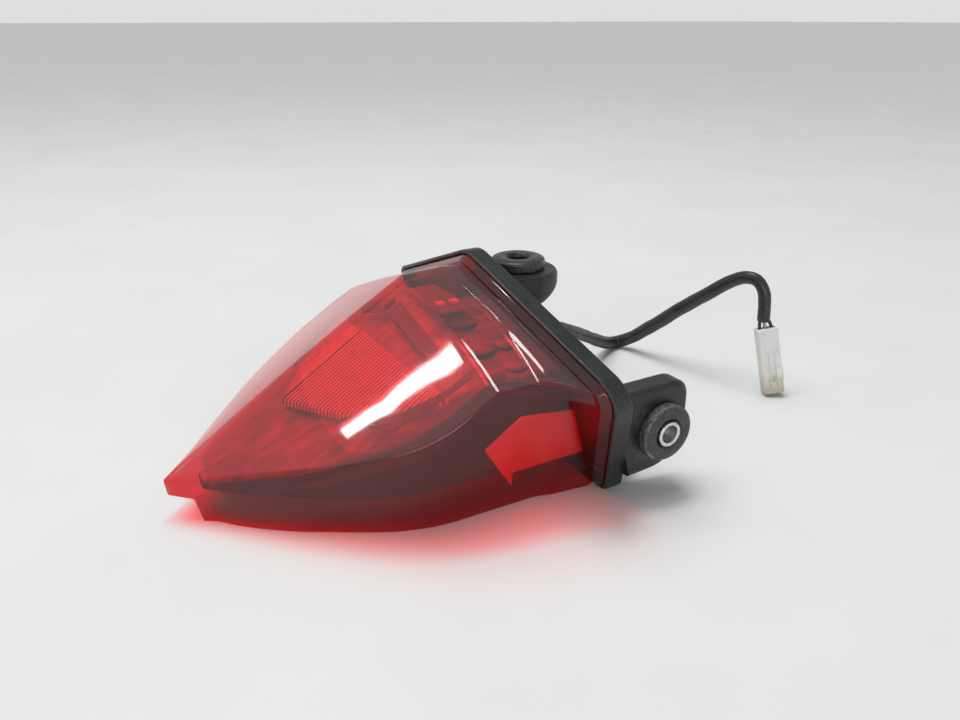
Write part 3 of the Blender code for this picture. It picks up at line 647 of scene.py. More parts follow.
def inner_half(s):
    along, edge_y, edge_z, band, wall_y = station(s)
    if s > SHOULDER:
        along = roof_along(s, 1.0)
    shift = max(0.0, 3.0 - 0.6 * (s - 1))
    reach = 0.55 + 0.1 * max(0.0, s - SHOULDER)
    crown = crown_height(s) - ROOF_WALL
    wall_in = wall_y - LENS_WALL
    edge_in = wall_in + reach * max(edge_y - wall_y, 0.8)
    roof_z = crown + (edge_z - ROOF_WALL - crown) * edge_in / edge_y
    under_z = min(edge_z - band + LENS_WALL, roof_z - 0.3)
    x = RIM_X + along + shift
    corners = [
        Vector((RIM_X + roof_along(s, 0.0) + shift, 0.0, crown)),
        Vector((x, edge_in, roof_z)),
        Vector((x, edge_in + 0.05, under_z)),
        Vector((x, wall_in, under_z - 0.2)),
        Vector((x, wall_in, LENS_WALL)),
        Vector((x, 0.0, LENS_WALL)),
    ]
    return shape_roof(soft_half(corners, CAVITY_RADII), s, edge_in)


def plane_half(depth, rows):
    """A half loop behind the rim plane from (y, z) corners."""
    return soft_half([Vector(rim_point(y, z, depth)) for y, z in rows], LENS_RADII)


def prow_end():
    """Where the prow meets the front face of the flange."""
    _, edge_y, edge_z, band, wall_y = LENS_STATIONS[-1]
    under_z = edge_z - band
    return plane_half(FLANGE_FRONT, (
        (0.0, 70.9),
        (edge_y + 0.6, edge_z),
        (edge_y + 0.6, under_z),
        (wall_y + 0.4, under_z - 0.4),
        (wall_y + 0.8, 0.0),
        (0.0, 0.0),
    ))


def cavity_mouth():
    """Where the cavity opens in the back face of the flange."""
    _, edge_y, edge_z, _, wall_y = LENS_STATIONS[-1]
    y, z = edge_y - 3.4, edge_z - 2.6
    wall_in = wall_y - LENS_WALL + 0.4
    return plane_half(FLANGE_BACK, (
        (0.0, CROWN_Z - 2.8),
        (y, z),
        (y, z - 1.0),
        (wall_in, z - 2.0),
        (wall_in, CAVITY_SILL),
        (0.0, CAVITY_SILL),
    ))


def flange_half(inset, depth):
    """The flange's outline in the columns of the lens sections."""
    whole_arcs, middle = half_outline(RIM_OUTLINE, inset)
    steps = len(whole_arcs[0]) - 1
    pick = [round(k * steps / ARC) for k in range(ARC + 1)]
    arcs = [[arc[i] for i in pick] for arc in whole_arcs]
    arcs[0] = arcs[0][ARC // 2:]
    side_count = INTERIOR[1] + INTERIOR[2] + INTERIOR[3] + 2 * (ARC + 1)
    points = []
    goals = (arcs[1][0], arcs[2][0], middle)
    for arc, goal, count in zip(arcs, goals, (INTERIOR[0], side_count, INTERIOR[4])):
        points += arc
        points += [arc[-1].lerp(goal, k / (count + 1)) for k in range(1, count + 1)]
    points.append(middle)
    return [Vector(rim_point(p.x, p.y, depth)) for p in points]


RING_CREASES = {SHOULDER: 1.0, LEG: 0.3, LEG + STEP: 0.3, RING - STEP: 0.4, RING: 0.5}
ROOF_STATIONS = (SHOULDER, 14.4, 14.8, LEG, LEG + STEP, RING - STEP, RING, 16.25, 16.5, 16.75)
CAVITY_STATIONS = (17, 16.5, 16, 15.5, 15, 14.5)


def lens_rows():
    """All half loops of the lens: out along the prow, round the flange, back inside."""
    rows, creases = [], {}
    for step in range(SHOULDER * 4):
        rows.append(outer_half(step / 4))
    for s in ROOF_STATIONS:
        if s in RING_CREASES:
            creases[len(rows)] = RING_CREASES[s]
        rows.append(outer_half(s))
    flange = (
        (prow_end(), 0.6),
        (flange_half(FLANGE_CHAMFER_INSET, FLANGE_FRONT), 0.5),
        (flange_half(FLANGE_INSET, FLANGE_EDGE), 0.5),
        (flange_half(FLANGE_INSET, FLANGE_BACK), 0.3),
        (cavity_mouth(), 0.3),
    )
    for half, radius in flange:
        creases[len(rows)] = radius
        rows.append(half)
    rows += [inner_half(s) for s in CAVITY_STATIONS]
    creases[len(rows)] = 0.8
    rows.append(inner_half(SHOULDER))
    for step in range(SHOULDER * 2 - 1, 1, -1):
        rows.append(inner_half(step / 2))
    return rows, creases


def make_lens(material):
    rows, creases = lens_rows()
    loops = [mirror_loop(half) for half in round_rows(rows, creases)]
    count = len(loops[0])
    lens = loft("lens_shell", loops, capped=False)
    work = bmesh.new()
    work.from_mesh(lens.data)
    work.verts.ensure_lookup_table()
    for base in (0, count * (len(loops) - 1)):
        for face in zipped_cap(base, count):
            work.faces.new([work.verts[i] for i in face])
    bmesh.ops.remove_doubles(work, verts=work.verts, dist=1e-6)
    bmesh.ops.recalc_face_normals(work, faces=work.faces)
    work.to_mesh(lens.data)
    work.free()
    finish_even(lens, "lens_shell", material, "lens")


# ---------------------------------------------------------------- housing


def dense_loop(outline, inset, depth):
    """A full outline loop with whole corner arcs and subdivided straights."""
    arcs, middle = half_outline(outline, inset)
    half = list(arcs[0][len(arcs[0]) // 2:])
    for arc in arcs[1:]:
        half += [half[-1].lerp(arc[0], k / 6) for k in range(1, 6)]
        half += arc
    half += [half[-1].lerp(middle, k / 4) for k in range(1, 5)]
    return mirror_loop([Vector(rim_point(p.x, p.y, depth)) for p in half])


def make_shell():
    rim, tub = RIM_OUTLINE, TUB_OUTLINE
    rows = [
        dense_loop(tub, TUB_WALL, TUB_FLOOR),
        dense_loop(tub, TUB_WALL, GROOVE_FLOOR),
        dense_loop(rim, RIM_WALL, GROOVE_FLOOR),
        dense_loop(rim, RIM_WALL, RIM_FRONT),
        dense_loop(rim, 0.0, RIM_FRONT),
        dense_loop(rim, 0.0, RIM_BACK),
        dense_loop(tub, -0.6, RIM_BACK),
        dense_loop(tub, 0.0, TUB_BACK),
        dense_loop(tub, TUB_WALL, TUB_BACK),
    ]
    creases = {1: 0.5, 2: 0.5, 3: 0.8, 4: 1.0, 5: 0.9, 6: 1.0, 7: 1.6}
    return loft("housing_shell", round_rows(rows, creases))


def lug_outline(centre_x, front_x, half_height, inset, steps=28):
    """A tongue in (along x, across): straight from the front, round about the axis."""
    radius = LUG_RADIUS - inset
    points = [(front_x, -(half_height - inset)), (centre_x, -radius)]
    for step in range(1, steps):
        angle = -math.pi / 2 + math.pi * step / steps
        points.append((centre_x + radius * math.cos(angle), radius * math.sin(angle)))
    points += [(centre_x, radius), (front_x, half_height - inset)]
    return points


def edge_steps(low, high, radius, steps=5):
    """(position, inset) pairs across a thickness whose two ends are rounded."""
    pairs = []
    for k in range(steps + 1):
        angle = math.pi / 2 * k / steps
        pairs.append((radius * (1 - math.cos(angle)), radius * (1 - math.sin(angle))))
    low_end = [(low + rise, inset) for rise, inset in pairs]
    return low_end + [(high - rise, inset) for rise, inset in reversed(pairs)]


def seat_front(x, z):
    """Keep a lug's front end inside the thickness of the rim's back plate."""
    return max(x, lean_x(z) + LUG_ROOT_DEPTH)


def side_lug(side):
    """A block with a rounded end, drilled for the grommet's neck and its inner flange."""
    sections = []
    for y, inset in edge_steps(*SIDE_LUG_Y, SIDE_LUG_EDGE):
        size = 1.0 - inset / SIDE_LUG_REACH
        middle = SIDE_LUG_MIDDLE
        shrunk = [middle + (Vector(p) - middle) * size for p in SIDE_LUG_CORNERS]
        outline = round_section(shrunk, SIDE_LUG_CORNER_RADIUS, 8)
        section = [(SIDE_LUG_X + x, SIDE_LUG_Z + z) for x, z in outline]
        sections.append([(seat_front(x, z), side * y, z) for x, z in section])
    lug = loft("side_lug", sections)
    inner, outer = SIDE_LUG_Y
    for radius, end in ((LUG_HOLE_RADIUS, outer + 5.0), (LUG_SEAT_RADIUS, outer - LUG_PLATE)):
        drill(lug, radius, (inner - 0.6, end), (SIDE_LUG_X, 0.0, SIDE_LUG_Z), side_turn(side))
    return lug


def top_lug():
    """A tongue that thickens towards the rim."""
    centre_x, _, top = TOP_LUG
    end_x = centre_x + LUG_RADIUS
    thickness = LUG_PLATE + TOP_LUG_EXTRA
    sections = []
    for z, inset in edge_steps(top - LUG_PLATE - TOP_LUG_EXTRA, top, TOP_LUG_EDGE):
        drop = TOP_LUG_TAPER * (top - z) / thickness
        outline = lug_outline(centre_x, 0.0, LUG_RADIUS - 1.0, inset)
        front = lean_x(z) + LUG_ROOT_DEPTH
        rows = [(max(x, front), y) for x, y in outline]
        heights = [max(z - drop * (end_x - x), TOP_LUG_LOW_Z) for x, _ in rows]
        sections.append([(seat_front(x, h), y, h) for (x, y), h in zip(rows, heights)])
    lug = loft("top_lug", sections)
    for radius, end in ((LUG_HOLE_RADIUS, top + 5.0), (LUG_SEAT_RADIUS, top - LUG_PLATE)):
        drill(lug, radius, (TOP_LUG_LOW_Z - 0.2, end), (centre_x, 0.0, 0.0), UPRIGHT)
    return lug


def behind_rim(y, z, depth):
    """A point at a distance behind the rim plane, along the plane's normal."""
    return Vector(rim_point(y, z, 0.0)) + rim_axis() * depth


RIBS = (  # depth behind the rim plane, lateral, height, size, bevel
    (9.6, 59.3, 8.4, (8.4, 5.0, 9.0), 0.7),  # stepped, under the side lugs
    (11.0, 58.0, 13.0, (11.0, 3.4, 12.0), 0.7),
    (9.6, -59.3, 8.4, (8.4, 5.0, 9.0), 0.7),
    (11.0, -58.0, 13.0, (11.0, 3.4, 12.0), 0.7),
    (WALL_OUTSIDE, -37.0, 23.0, (1.4, 1.4, 17.0), 0.35),  # on the rear wall
    (WALL_OUTSIDE, 0.0, 25.0, (1.4, 1.4, 22.0), 0.35),
    (WALL_OUTSIDE, 37.0, 23.0, (1.4, 1.4, 17.0), 0.35),
    (WALL_OUTSIDE, 0.0, 34.0, (1.4, 58.0, 1.4), 0.35),
)


def make_housing(material):
    housing = make_shell()
    for lug in (top_lug(), side_lug(1), side_lug(-1)):
        fuse(housing, lug)
    for depth, y, z, size, width in RIBS:
        rib = place(bevel(box("rib", size), width), behind_rim(y, z, depth), rim_rotation())
        fuse(housing, rib)
    for y, radius in ((EXIT_Y, GLAND_HOLE_RADIUS), (-EXIT_Y, VENT_HOLE_RADIUS)):
        drill(housing, radius, WALL_HOLE_SPAN, behind_rim(y, EXIT_Z, 0.0), rim_rotation(), 48)
    finish_even(housing, "housing_shell", material, "housing", 40.0)


# ---------------------------------------------------------------- optics inside the lens

FACET_RISE = (KEEL_END[1] - KEEL_START[1]) / (KEEL_END[0] - KEEL_START[0])
FACET_SLOPE = 0.36
NOSE_STATIONS = (  # along, half width
    (-102.0, 2.5),
    (-88.0, 15.0),
    (-70.0, 28.0),
    (-54.0, 37.5),
    (-38.0, 42.0),
    (-16.0, 42.0),
)
NOSE_DROP = 13.0
NOSE_FLOOR = 8.5
CARRIER_INSET = 6.4
ROOF_SLOPE = 0.37
DIFFUSER_PLAN = (
    (-72.0, 0.3),
    (-42.0, 0.3),
    (-36.5, 28.0),
    (-32.0, 45.0),
    (-46.0, 36.0),
    (-59.0, 22.0),
)
DIFFUSER_LEVELS = (7.0, 9.0)  # top and bottom, below the lens facet
DIFFUSER_RIBS = (1.25, 0.45)  # pitch and height
LIGHT_BAR_PLAN = ((-32.5, 2.0), (-28.0, 2.0), (-26.5, 28.0), (-31.0, 28.0))
LIGHT_BAR_LEVELS = (6.5, 8.6)
LIGHT_BAR_RIBS = (0.85, 0.35)
FIN_LEVELS = (5.7, 6.3)
FIN_SHARES = (0.1, 0.37, 0.63, 0.9)  # where the ribs run, from the inner edge to the outer
FIN_RIB = (0.55, 5.8, 0.42)  # width, depth below the facet, height
FIN_INNER = ((-60.0, 24.0), (-47.0, 37.5), (-31.0, 44.0), (-23.0, 44.2))
FIN_OUTER = ((-60.0, 25.0), (-50.0, 41.0), (-37.0, 44.4), (-24.5, 46.3))
SIDE_PLATE = ((-19.0, 20.5), (-8.5, 4.0), (-8.5, 9.6), (21.5, 9.6), (16.5, 27.0), (-4.5, 29.5))
SIDE_PLATE_Y = (44.6, 46.2)
CROWN_BOARD = (-12.5, 0.0, 59.2)
CROWN_BOARD_SIZE = (13.0, 30.0, 1.2)
CROWN_LEDS = ((-16.0, -9.0, 60.7), (-10.5, -9.0, 60.7))


def facet_z(along, y, depth):
    """Height of a plane parallel to the lens facet, depth below it."""
    return KEEL_END[1] - depth + FACET_RISE * (along - KEEL_END[0]) - FACET_SLOPE * abs(y)


def facet_point(along, y, depth, side):
    return (RIM_X + along, side * y, facet_z(along, y, depth))


def facet_prism(side, plan, levels):
    rows = [[facet_point(along, y, depth, side) for along, y in plan] for depth in levels]
    return loft("plate", rows, smooth=False)


def crossings(plan, y):
    """Along-positions where the line at lateral y enters and leaves a convex plan."""
    found = []
    for (along_a, y_a), (along_b, y_b) in zip(plan, plan[1:] + plan[:1]):
        if (y_a - y) * (y_b - y) < 0:
            found.append(along_a + (along_b - along_a) * ((y - y_a) / (y_b - y_a)))
    return min(found), max(found)


def rib_on_facet(path, width, depth, height, side):
    """A half-round rib that follows a plan path on the facet plane."""
    rows = []
    for i, here in enumerate(path):
        ahead = Vector(path[min(i + 1, len(path) - 1)]) - Vector(path[max(i - 1, 0)])
        across = Vector((-ahead.y, ahead.x)).normalized() * width / 2
        row = []
        for k in range(6):
            angle = math.pi * k / 5
            along, y = Vector(here) + across * math.cos(angle)
            row.append(facet_point(along, y, depth - height * math.sin(angle), side))
        rows.append(row)
    return loft("rib", rows)


def ribbed_plate(side, plan, levels, ribs):
    """A thin plate whose top is moulded into ribs that run lengthwise."""
    pitch, height = ribs
    parts = [facet_prism(side, plan, levels)]
    low = min(y for _, y in plan) + pitch * 0.6
    high = max(y for _, y in plan) - pitch * 0.6
    for k in range(int((high - low) / pitch) + 1):
        y = low + k * pitch
        start, end = crossings(plan, y)
        if end - start < 2.0:
            continue
        start, end = start + 0.4, end - 0.4
        path = [(start + (end - start) * t / 6, y) for t in range(7)]
        parts.append(rib_on_facet(path, pitch * 0.92, levels[0] + 0.05, height, side))
    return join("ribbed plate", parts)


def make_diffusers(wing_material, bar_material):
    for side, suffix in SIDES:
        wing = ribbed_plate(side, DIFFUSER_PLAN, DIFFUSER_LEVELS, DIFFUSER_RIBS)
        name = f"diffuser_wing_{suffix}"
        finish_even(wing, name, wing_material, f"diffuser_{suffix}")
        bar = ribbed_plate(side, LIGHT_BAR_PLAN, LIGHT_BAR_LEVELS, LIGHT_BAR_RIBS)
        name = f"light_rod_{suffix}"
        finish_even(bar, name, bar_material, f"light_bar_{suffix}")


def polyline_point(line, t):
    position = t * (len(line) - 1)
    i = min(int(position), len(line) - 2)
    return Vector(line[i]).lerp(Vector(line[i + 1]), position - i)


def make_fins(material):
    """Long slim ribs that run beside the prow's lower edge."""
    for side, suffix in SIDES:
        parts = [facet_prism(side, FIN_INNER + FIN_OUTER[::-1], FIN_LEVELS)]
        for share in FIN_SHARES:
            path = []
            for k in range(21):
                t = 0.04 + 0.92 * k / 20
                point = polyline_point(FIN_INNER, t).lerp(polyline_point(FIN_OUTER, t), share)
                path.append(tuple(point))
            parts.append(rib_on_facet(path, *FIN_RIB, side))
        name = f"edge_fins_{suffix}"
        finish_even(join(name, parts), name, material, f"fin_strip_{suffix}")


def make_side_plates(material):
    """Bright satin plates behind the lens's side walls, with softly rounded edges."""
    outline = round_section(SIDE_PLATE, 1.0)
    for side, suffix in SIDES:
        faces = [[(RIM_X + x, side * y, z) for x, z in outline] for y in SIDE_PLATE_Y]
        plate = bevel(loft("plate", faces, smooth=False), 0.3)
        name = f"side_plate_{suffix}"
        finish_even(plate, name, material, f"side_reflector_{suffix}")


def nose_section(along, half_width, end_depth=None):
    crown = keel_z(along) - NOSE_DROP + 4.5 * max(0.0, (-70.0 - along) / 32.0)
    edge = max(crown - FACET_SLOPE * half_width, NOSE_FLOOR + 2.5)
    half = [(half_width, edge), (half_width + 1.0, NOSE_FLOOR + 1.5), (half_width, NOSE_FLOOR)]
    corners = [(0.0, crown)] + half + [(-y, z) for y, z in reversed(half)]
    outline = round_section(corners, 1.6, 5)
    if end_depth is None:
        return [(RIM_X + along, y, z) for y, z in outline]
    return [rim_point(y, z, end_depth) for y, z in outline]


def bulge(along, y, z, radius):
    """A low dome on the carrier under the ring of the lens."""
    rows = []
    for k in range(7):
        lift = math.pi / 2 * k / 7
        reach = radius * math.cos(lift)
        angles = (math.tau * step / 24 for step in range(24))
        height = z + radius * 0.45 * math.sin(lift)
        plan = [(reach * math.cos(a), reach * math.sin(a)) for a in angles]
        rows.append([(RIM_X + along + x, y + across, height) for x, across in plan])
    foot = [(x, py, z - 6.0) for x, py, _ in rows[0]]
    return loft("bulge", [foot] + rows)


BULGES = (  # along, lateral, drop under the ring's roof, radius
    (-8.8, 10.2, 14.2, 6.4),
    (-9.9, 23.1, 14.4, 8.0),
    (0.1, 24.1, 14.2, 5.4),
    (-11.8, 36.0, 14.4, 6.0),
    (-2.0, 34.7, 14.2, 5.6),
)


def make_carrier(material):
    """Carrier: a frame behind the lens flange, its nose and the domes over the lamps."""
    stations = []
    for here, ahead in zip(NOSE_STATIONS, NOSE_STATIONS[1:]):
        for t in range(4):
            stations.append([a + (b - a) * t / 4 for a, b in zip(here, ahead)])
    stations.append(NOSE_STATIONS[-1])
    sections = [nose_section(along, half_width) for along, half_width in stations]
    sections.append(nose_section(*NOSE_STATIONS[-1], end_depth=FLANGE_BACK + 1.0))
    nose = loft("carrier_nose", sections)
    depths = (FLANGE_BACK + GAP, GROOVE_FLOOR - GAP)
    plate = loft("carrier_frame", [dense_loop(RIM_OUTLINE, CARRIER_INSET, d) for d in depths])
    fuse(nose, plate)
    for side, _ in SIDES:
        for along, y, drop, radius in BULGES:
            roof = CROWN_Z - ROOF_SLOPE * y
            fuse(nose, bulge(along, side * y, roof - drop, radius))
    finish_even(nose, "carrier_nose", material, "inner_carrier", 35.0)


def make_lamp_chips(board_material, led_material):
    """Two chip lamps on the crown board."""
    board = place(bevel(box("crown_panel", CROWN_BOARD_SIZE), 0.25), along_point(CROWN_BOARD))
    finish_piece(board, board_material, "crown_board")
    for index, centre in enumerate(CROWN_LEDS, start=1):
        body = bevel(box("body", (3.0, 3.0, 1.2)), 0.2)
        well = solid_turned("well", [(0.35, 1.0), (2.0, 1.25)], 24)
        cut(body, place(well, ORIGIN, UPRIGHT))
        place(body, along_point(centre))
        finish_even(body, f"lamp_chip_{index}", led_material, f"crown_led_{index}")


# ---------------------------------------------------------------- mounts


def grommet_profile(bore):
    """Closed section of a grommet; x runs outward from the lug plate's outer face."""
    flange, neck = GROMMET_RADIUS, LUG_HOLE_RADIUS - GAP
    plate, inner = LUG_PLATE + GAP, GROMMET_INNER_RADIUS
    back, face = plate + GROMMET_INNER_FLANGE, GAP + GROMMET_FLANGE
    corners = [
        (face - 1.1, bore),
        (face - 0.1, bore + 0.9),
        (face, bore + 1.5),
        (face, flange - 2.0),
        (face - 0.7, flange),
        (GAP, flange),
        (GAP, neck),
        (-plate, neck),
        (-plate, inner),
        (-back, inner),
        (-back, bore),
    ]
    return round_section(corners, 0.9, 5)


def side_mount(side):
    """The centre of a side lug's outer face."""
    return (SIDE_LUG_X, side * SIDE_LUG_Y[1], SIDE_LUG_Z)


def make_grommets(rubber, glossy):
    top = place(turned("grommet", grommet_profile(TOP_BORE_RADIUS)), TOP_LUG, UPRIGHT)
    finish_even(top, "mount_rubber_top", glossy, "grommet_top")
    for side, suffix in SIDES:
        ring = turned("grommet", grommet_profile(SLEEVE_RADII[0] + GAP))
        place(ring, side_mount(side), side_turn(side))
        finish_even(ring, f"mount_rubber_{suffix}", rubber, f"grommet_{suffix}")


def make_sleeves(material):
    """Rolled steel sleeves: a tube with a narrow butt seam along one side."""
    outer, bore = SLEEVE_RADII
    end = GAP + GROMMET_FLANGE + 0.2
    start = -(LUG_PLATE + GAP + GROMMET_INNER_FLANGE)
    profile = round_section([(start, bore), (end, bore), (end, outer), (start, outer)], 0.3)
    for side, suffix in SIDES:
        sleeve = turned("sleeve", profile)
        seam = box("seam", (40.0, 0.35, 1.1))
        cut(sleeve, place(seam, (0.0, 0.0, outer)))
        place(sleeve, side_mount(side), side_turn(side) @ Matrix.Rotation(SEAM_ANGLE, 3, "X"))
        finish_even(sleeve, f"steel_sleeve_{suffix}", material, f"sleeve_{suffix}", 35.0)


# ---------------------------------------------------------------- cable, gland and vent


def make_gland(material):
    """Rubber gland through the rear wall, with a ribbed, tapering nose."""
    wall = WALL_THICKNESS + 2 * GAP
    outline = [
        (-1.8 - GAP, 2.3),
        (-1.8 - GAP, 5.6),
        (-GAP, 5.9),
        (-GAP, 4.3),
        (wall - GAP, 4.3),
        (wall - GAP, 6.4),
        (wall + 1.4, 6.2),
        (wall + 2.0, 4.9),
    ]
    for k in range(GLAND_RIBS):
        x = wall + 2.6 + k * (GLAND_LENGTH - wall - 3.4) / GLAND_RIBS
        radius = 4.6 - 0.28 * k
        outline += [(x, radius), (x + 0.9, radius), (x + 1.1, radius - 0.6), (x + 1.5, radius - 0.6)]
    outline += [(GLAND_LENGTH, 3.5), (GLAND_LENGTH, 2.95), (wall, 2.6)]
    gland = turned("gland", round_section(outline, 0.25, 2), 48)
    place(gland, behind_rim(EXIT_Y, EXIT_Z, WALL_INSIDE), rim_rotation())
    finish_even(gland, "cable_gland_rubber", material, "cable_gland")


def make_vent(material):
    """Breather cap with a knurled edge and a shallow dished face."""
    outside = WALL_THICKNESS + GAP
    profile = [(-0.8, 2.0), (-0.6, 2.2), (outside, 2.3), (outside, 4.3), (outside + 0.3, 4.6)]
    profile += [(outside + 1.3, 4.6), (outside + 2.1, 3.9), (outside + 2.2, 3.2)]
    profile += [(outside + 1.7, 2.6), (outside + 1.7, 0.4)]
    cap = solid_turned("cap", profile, 48)
    for k in range(VENT_NOTCHES):
        notch = place(box("notch", (1.6, 0.5, 0.7)), (outside + 0.9, 0.0, 4.7))
        notch.data.transform(Matrix.Rotation(math.tau * k / VENT_NOTCHES, 4, "X"))
        cut(cap, notch)
    place(cap, behind_rim(-EXIT_Y, EXIT_Z, WALL_INSIDE), rim_rotation())
    finish_even(cap, "vent_cap_dished", material, "vent_cap", 35.0)


def smooth_path(points, step):
    """Points about a step apart on a Catmull-Rom curve through the given points."""
    chain = [points[0] * 2 - points[1]] + points + [points[-1] * 2 - points[-2]]
    path = [points[0]]
    for i in range(1, len(chain) - 2):
        p0, p1, p2, p3 = chain[i - 1:i + 3]
        count = max(1, round((p2 - p1).length / step))
        path += [hermite(p0, p1, p2, p3, k / count) for k in range(1, count + 1)]
    return path


def tube(name, path, shape, segments=24):
    """A skin along a path; shape(share, angle) gives the radius round each ring."""
    up = Vector((0.0, 0.0, 1.0))
    rings = []
    for i, here in enumerate(path):
        ahead = (path[min(i + 1, len(path) - 1)] - path[max(i - 1, 0)]).normalized()
        up = (up - ahead * up.dot(ahead)).normalized()
        side = ahead.cross(up)
        ring = []
        for k in range(segments):
            angle = math.tau * k / segments
            radius = shape(i / (len(path) - 1), angle)
            ring.append(here + (side * math.cos(angle) + up * math.sin(angle)) * radius)
        rings.append(ring)
    return loft(name, rings)


def cord_path():
    start = behind_rim(EXIT_Y, EXIT_Z, WALL_INSIDE + (GLAND_LENGTH + GAP))
    route = [start, start + rim_axis() * 4.0] + [along_point(p) for p in CORD_ROUTE]
    return smooth_path(route, 2.0)


def sleeve_radius(share, angle):
    """A soft sleeve over three wires: slightly flattened, with shallow creases."""
    base = CORD_DIAMETER / 2 - 0.12
    flat = 0.24 * math.cos(2 * angle + 5.0 * share)
    crease = 0.26 * noise.noise(Vector((math.cos(angle) * 0.9, math.sin(angle) * 0.9, share * 26)))
    lobes = 0.10 * math.cos(3 * angle + 9.0 * share)
    return base + flat + crease + lobes


def connector_frame():
    """Foot, rotation and length of the connector; local Z runs from its foot to its top."""
    foot, top = along_point(CONNECTOR_FOOT), along_point(CONNECTOR_TOP)
    up = (top - foot).normalized()
    side = (CONNECTOR_SIDE - up * CONNECTOR_SIDE.dot(up)).normalized()
    rotation = Matrix((side, up.cross(side), up)).transposed()
    return foot, rotation, (top - foot).length


def make_wires(materials):
    """Three short leads from the sleeve's end into the plug's cavities."""
    foot, rotation, length = connector_frame()
    side, face, up = (rotation.col[k].copy() for k in range(3))
    end = along_point(CORD_ROUTE[-1])
    pieces = []
    for row, (name, node, slot, material) in zip((-1, 0, 1), materials):
        start = end + up * 1.6 + side * (row * 1.7) * 0.8
        finish = foot + up * (length - 4.0) + side * (row * CAVITY_PITCH)
        bow = side * (row * 0.5) + face * (-0.2 if row else 0.3)
        middle = start.lerp(finish, 0.45) + bow
        path = smooth_path([start, middle, finish], 0.5)
        wire = tube(name, path, lambda share, angle: WIRE_RADIUS, 14)
        pieces.append(finish_piece(wire, material, node))
    return pieces


def make_connector(material):
    """Three-way nylon plug: rounded body, grooves down its face, cavities and a locking bump."""
    foot, rotation, length = connector_frame()
    width, depth = CONNECTOR_SIZE
    lift = 0.5 * depth * math.sqrt(1.0 - rotation.col[2].z ** 2) + 0.6
    body = place(box("plug", (width, depth, length - lift)), (0.0, 0.0, (length + lift) / 2))
    bevel(body, 0.55, 4)
    latch = bevel(box("latch", (1.3, 2.6, 5.4)), 0.4)
    fuse(body, place(latch, (width / 2 + 0.3, 0.0, 9.5)))
    for row in (-1, 0, 1):
        cavity = box("cavity", (2.0, 3.0, length + 10.0))
        cut(body, place(cavity, (row * CAVITY_PITCH, 0.0, length / 2)))
    for face in (-1, 1):
        for x in (-CAVITY_PITCH / 2, CAVITY_PITCH / 2):
            groove = bevel(box("groove", (0.55, 0.7, length - 15.0)), 0.2)
            place(groove, (x, face * depth / 2, length / 2 - 3.0))
            cut(body, groove)
        window = bevel(box("window", (1.5, 1.6, 3.4)), 0.2)
        cut(body, place(window, (0.0, face * depth / 2, 8.0)))
    place(body, foot, rotation)
    return finish_even(body, "plug_body", material, "connector_housing", 40.0)


def make_terminals(material):
    """Folded contact sockets, each a small box with a crimp barrel behind it."""
    foot, rotation, _ = connector_frame()
    pieces = []
    for number in (1, 2, 3):
        barrel = bevel(box("socket", (1.25, 1.7, 8.0)), 0.15)
        crimp = solid_turned("crimp", [(3.5, 0.62), (7.0, 0.62), (7.4, 0.75), (8.4, 0.75)], 16)
        fuse(barrel, place(crimp, ORIGIN, UPRIGHT))
        centre = foot + rotation.col[2] * 10.0 + rotation.col[0] * (number - 2) * CAVITY_PITCH
        place(barrel, centre, rotation)
        name, node = f"contact_{number}", f"terminal_{number}"
        pieces.append(finish_even(barrel, name, material, node))
    return pieces


def make_pigtail(sheath, wires, nylon, brass):
    path = cord_path()
    cord = tube("pigtail", path, sleeve_radius)
    finish_piece(cord, sheath, "cord")
    pieces = make_wires(wires) + [make_connector(nylon)] + make_terminals(brass)


# ---------------------------------------------------------------- materials

EDGE_GRAIN = 0.12  # how far noise breaks up the line where an edge is worn
LENS_COLOR = (0.77, 0.016, 0.024)
LENS_SHADOW = (0.80, 0.15, 0.15)
LENS_DUST_AND_SHEEN = (0.90, 0.80, 0.82)  # fine dust on the upper faces, and a painted sheen there that stands in for the sky's reflection


def set_stops(elements, stops):
    """Fill a colour ramp from (position, grey value or colour) pairs."""
    for i, (position, value) in enumerate(stops):
        element = elements[i] if i < 2 else elements.new(position)
        element.position = position
        color = value if isinstance(value, tuple) else (value,) * 3
        element.color = (*color, 1.0)


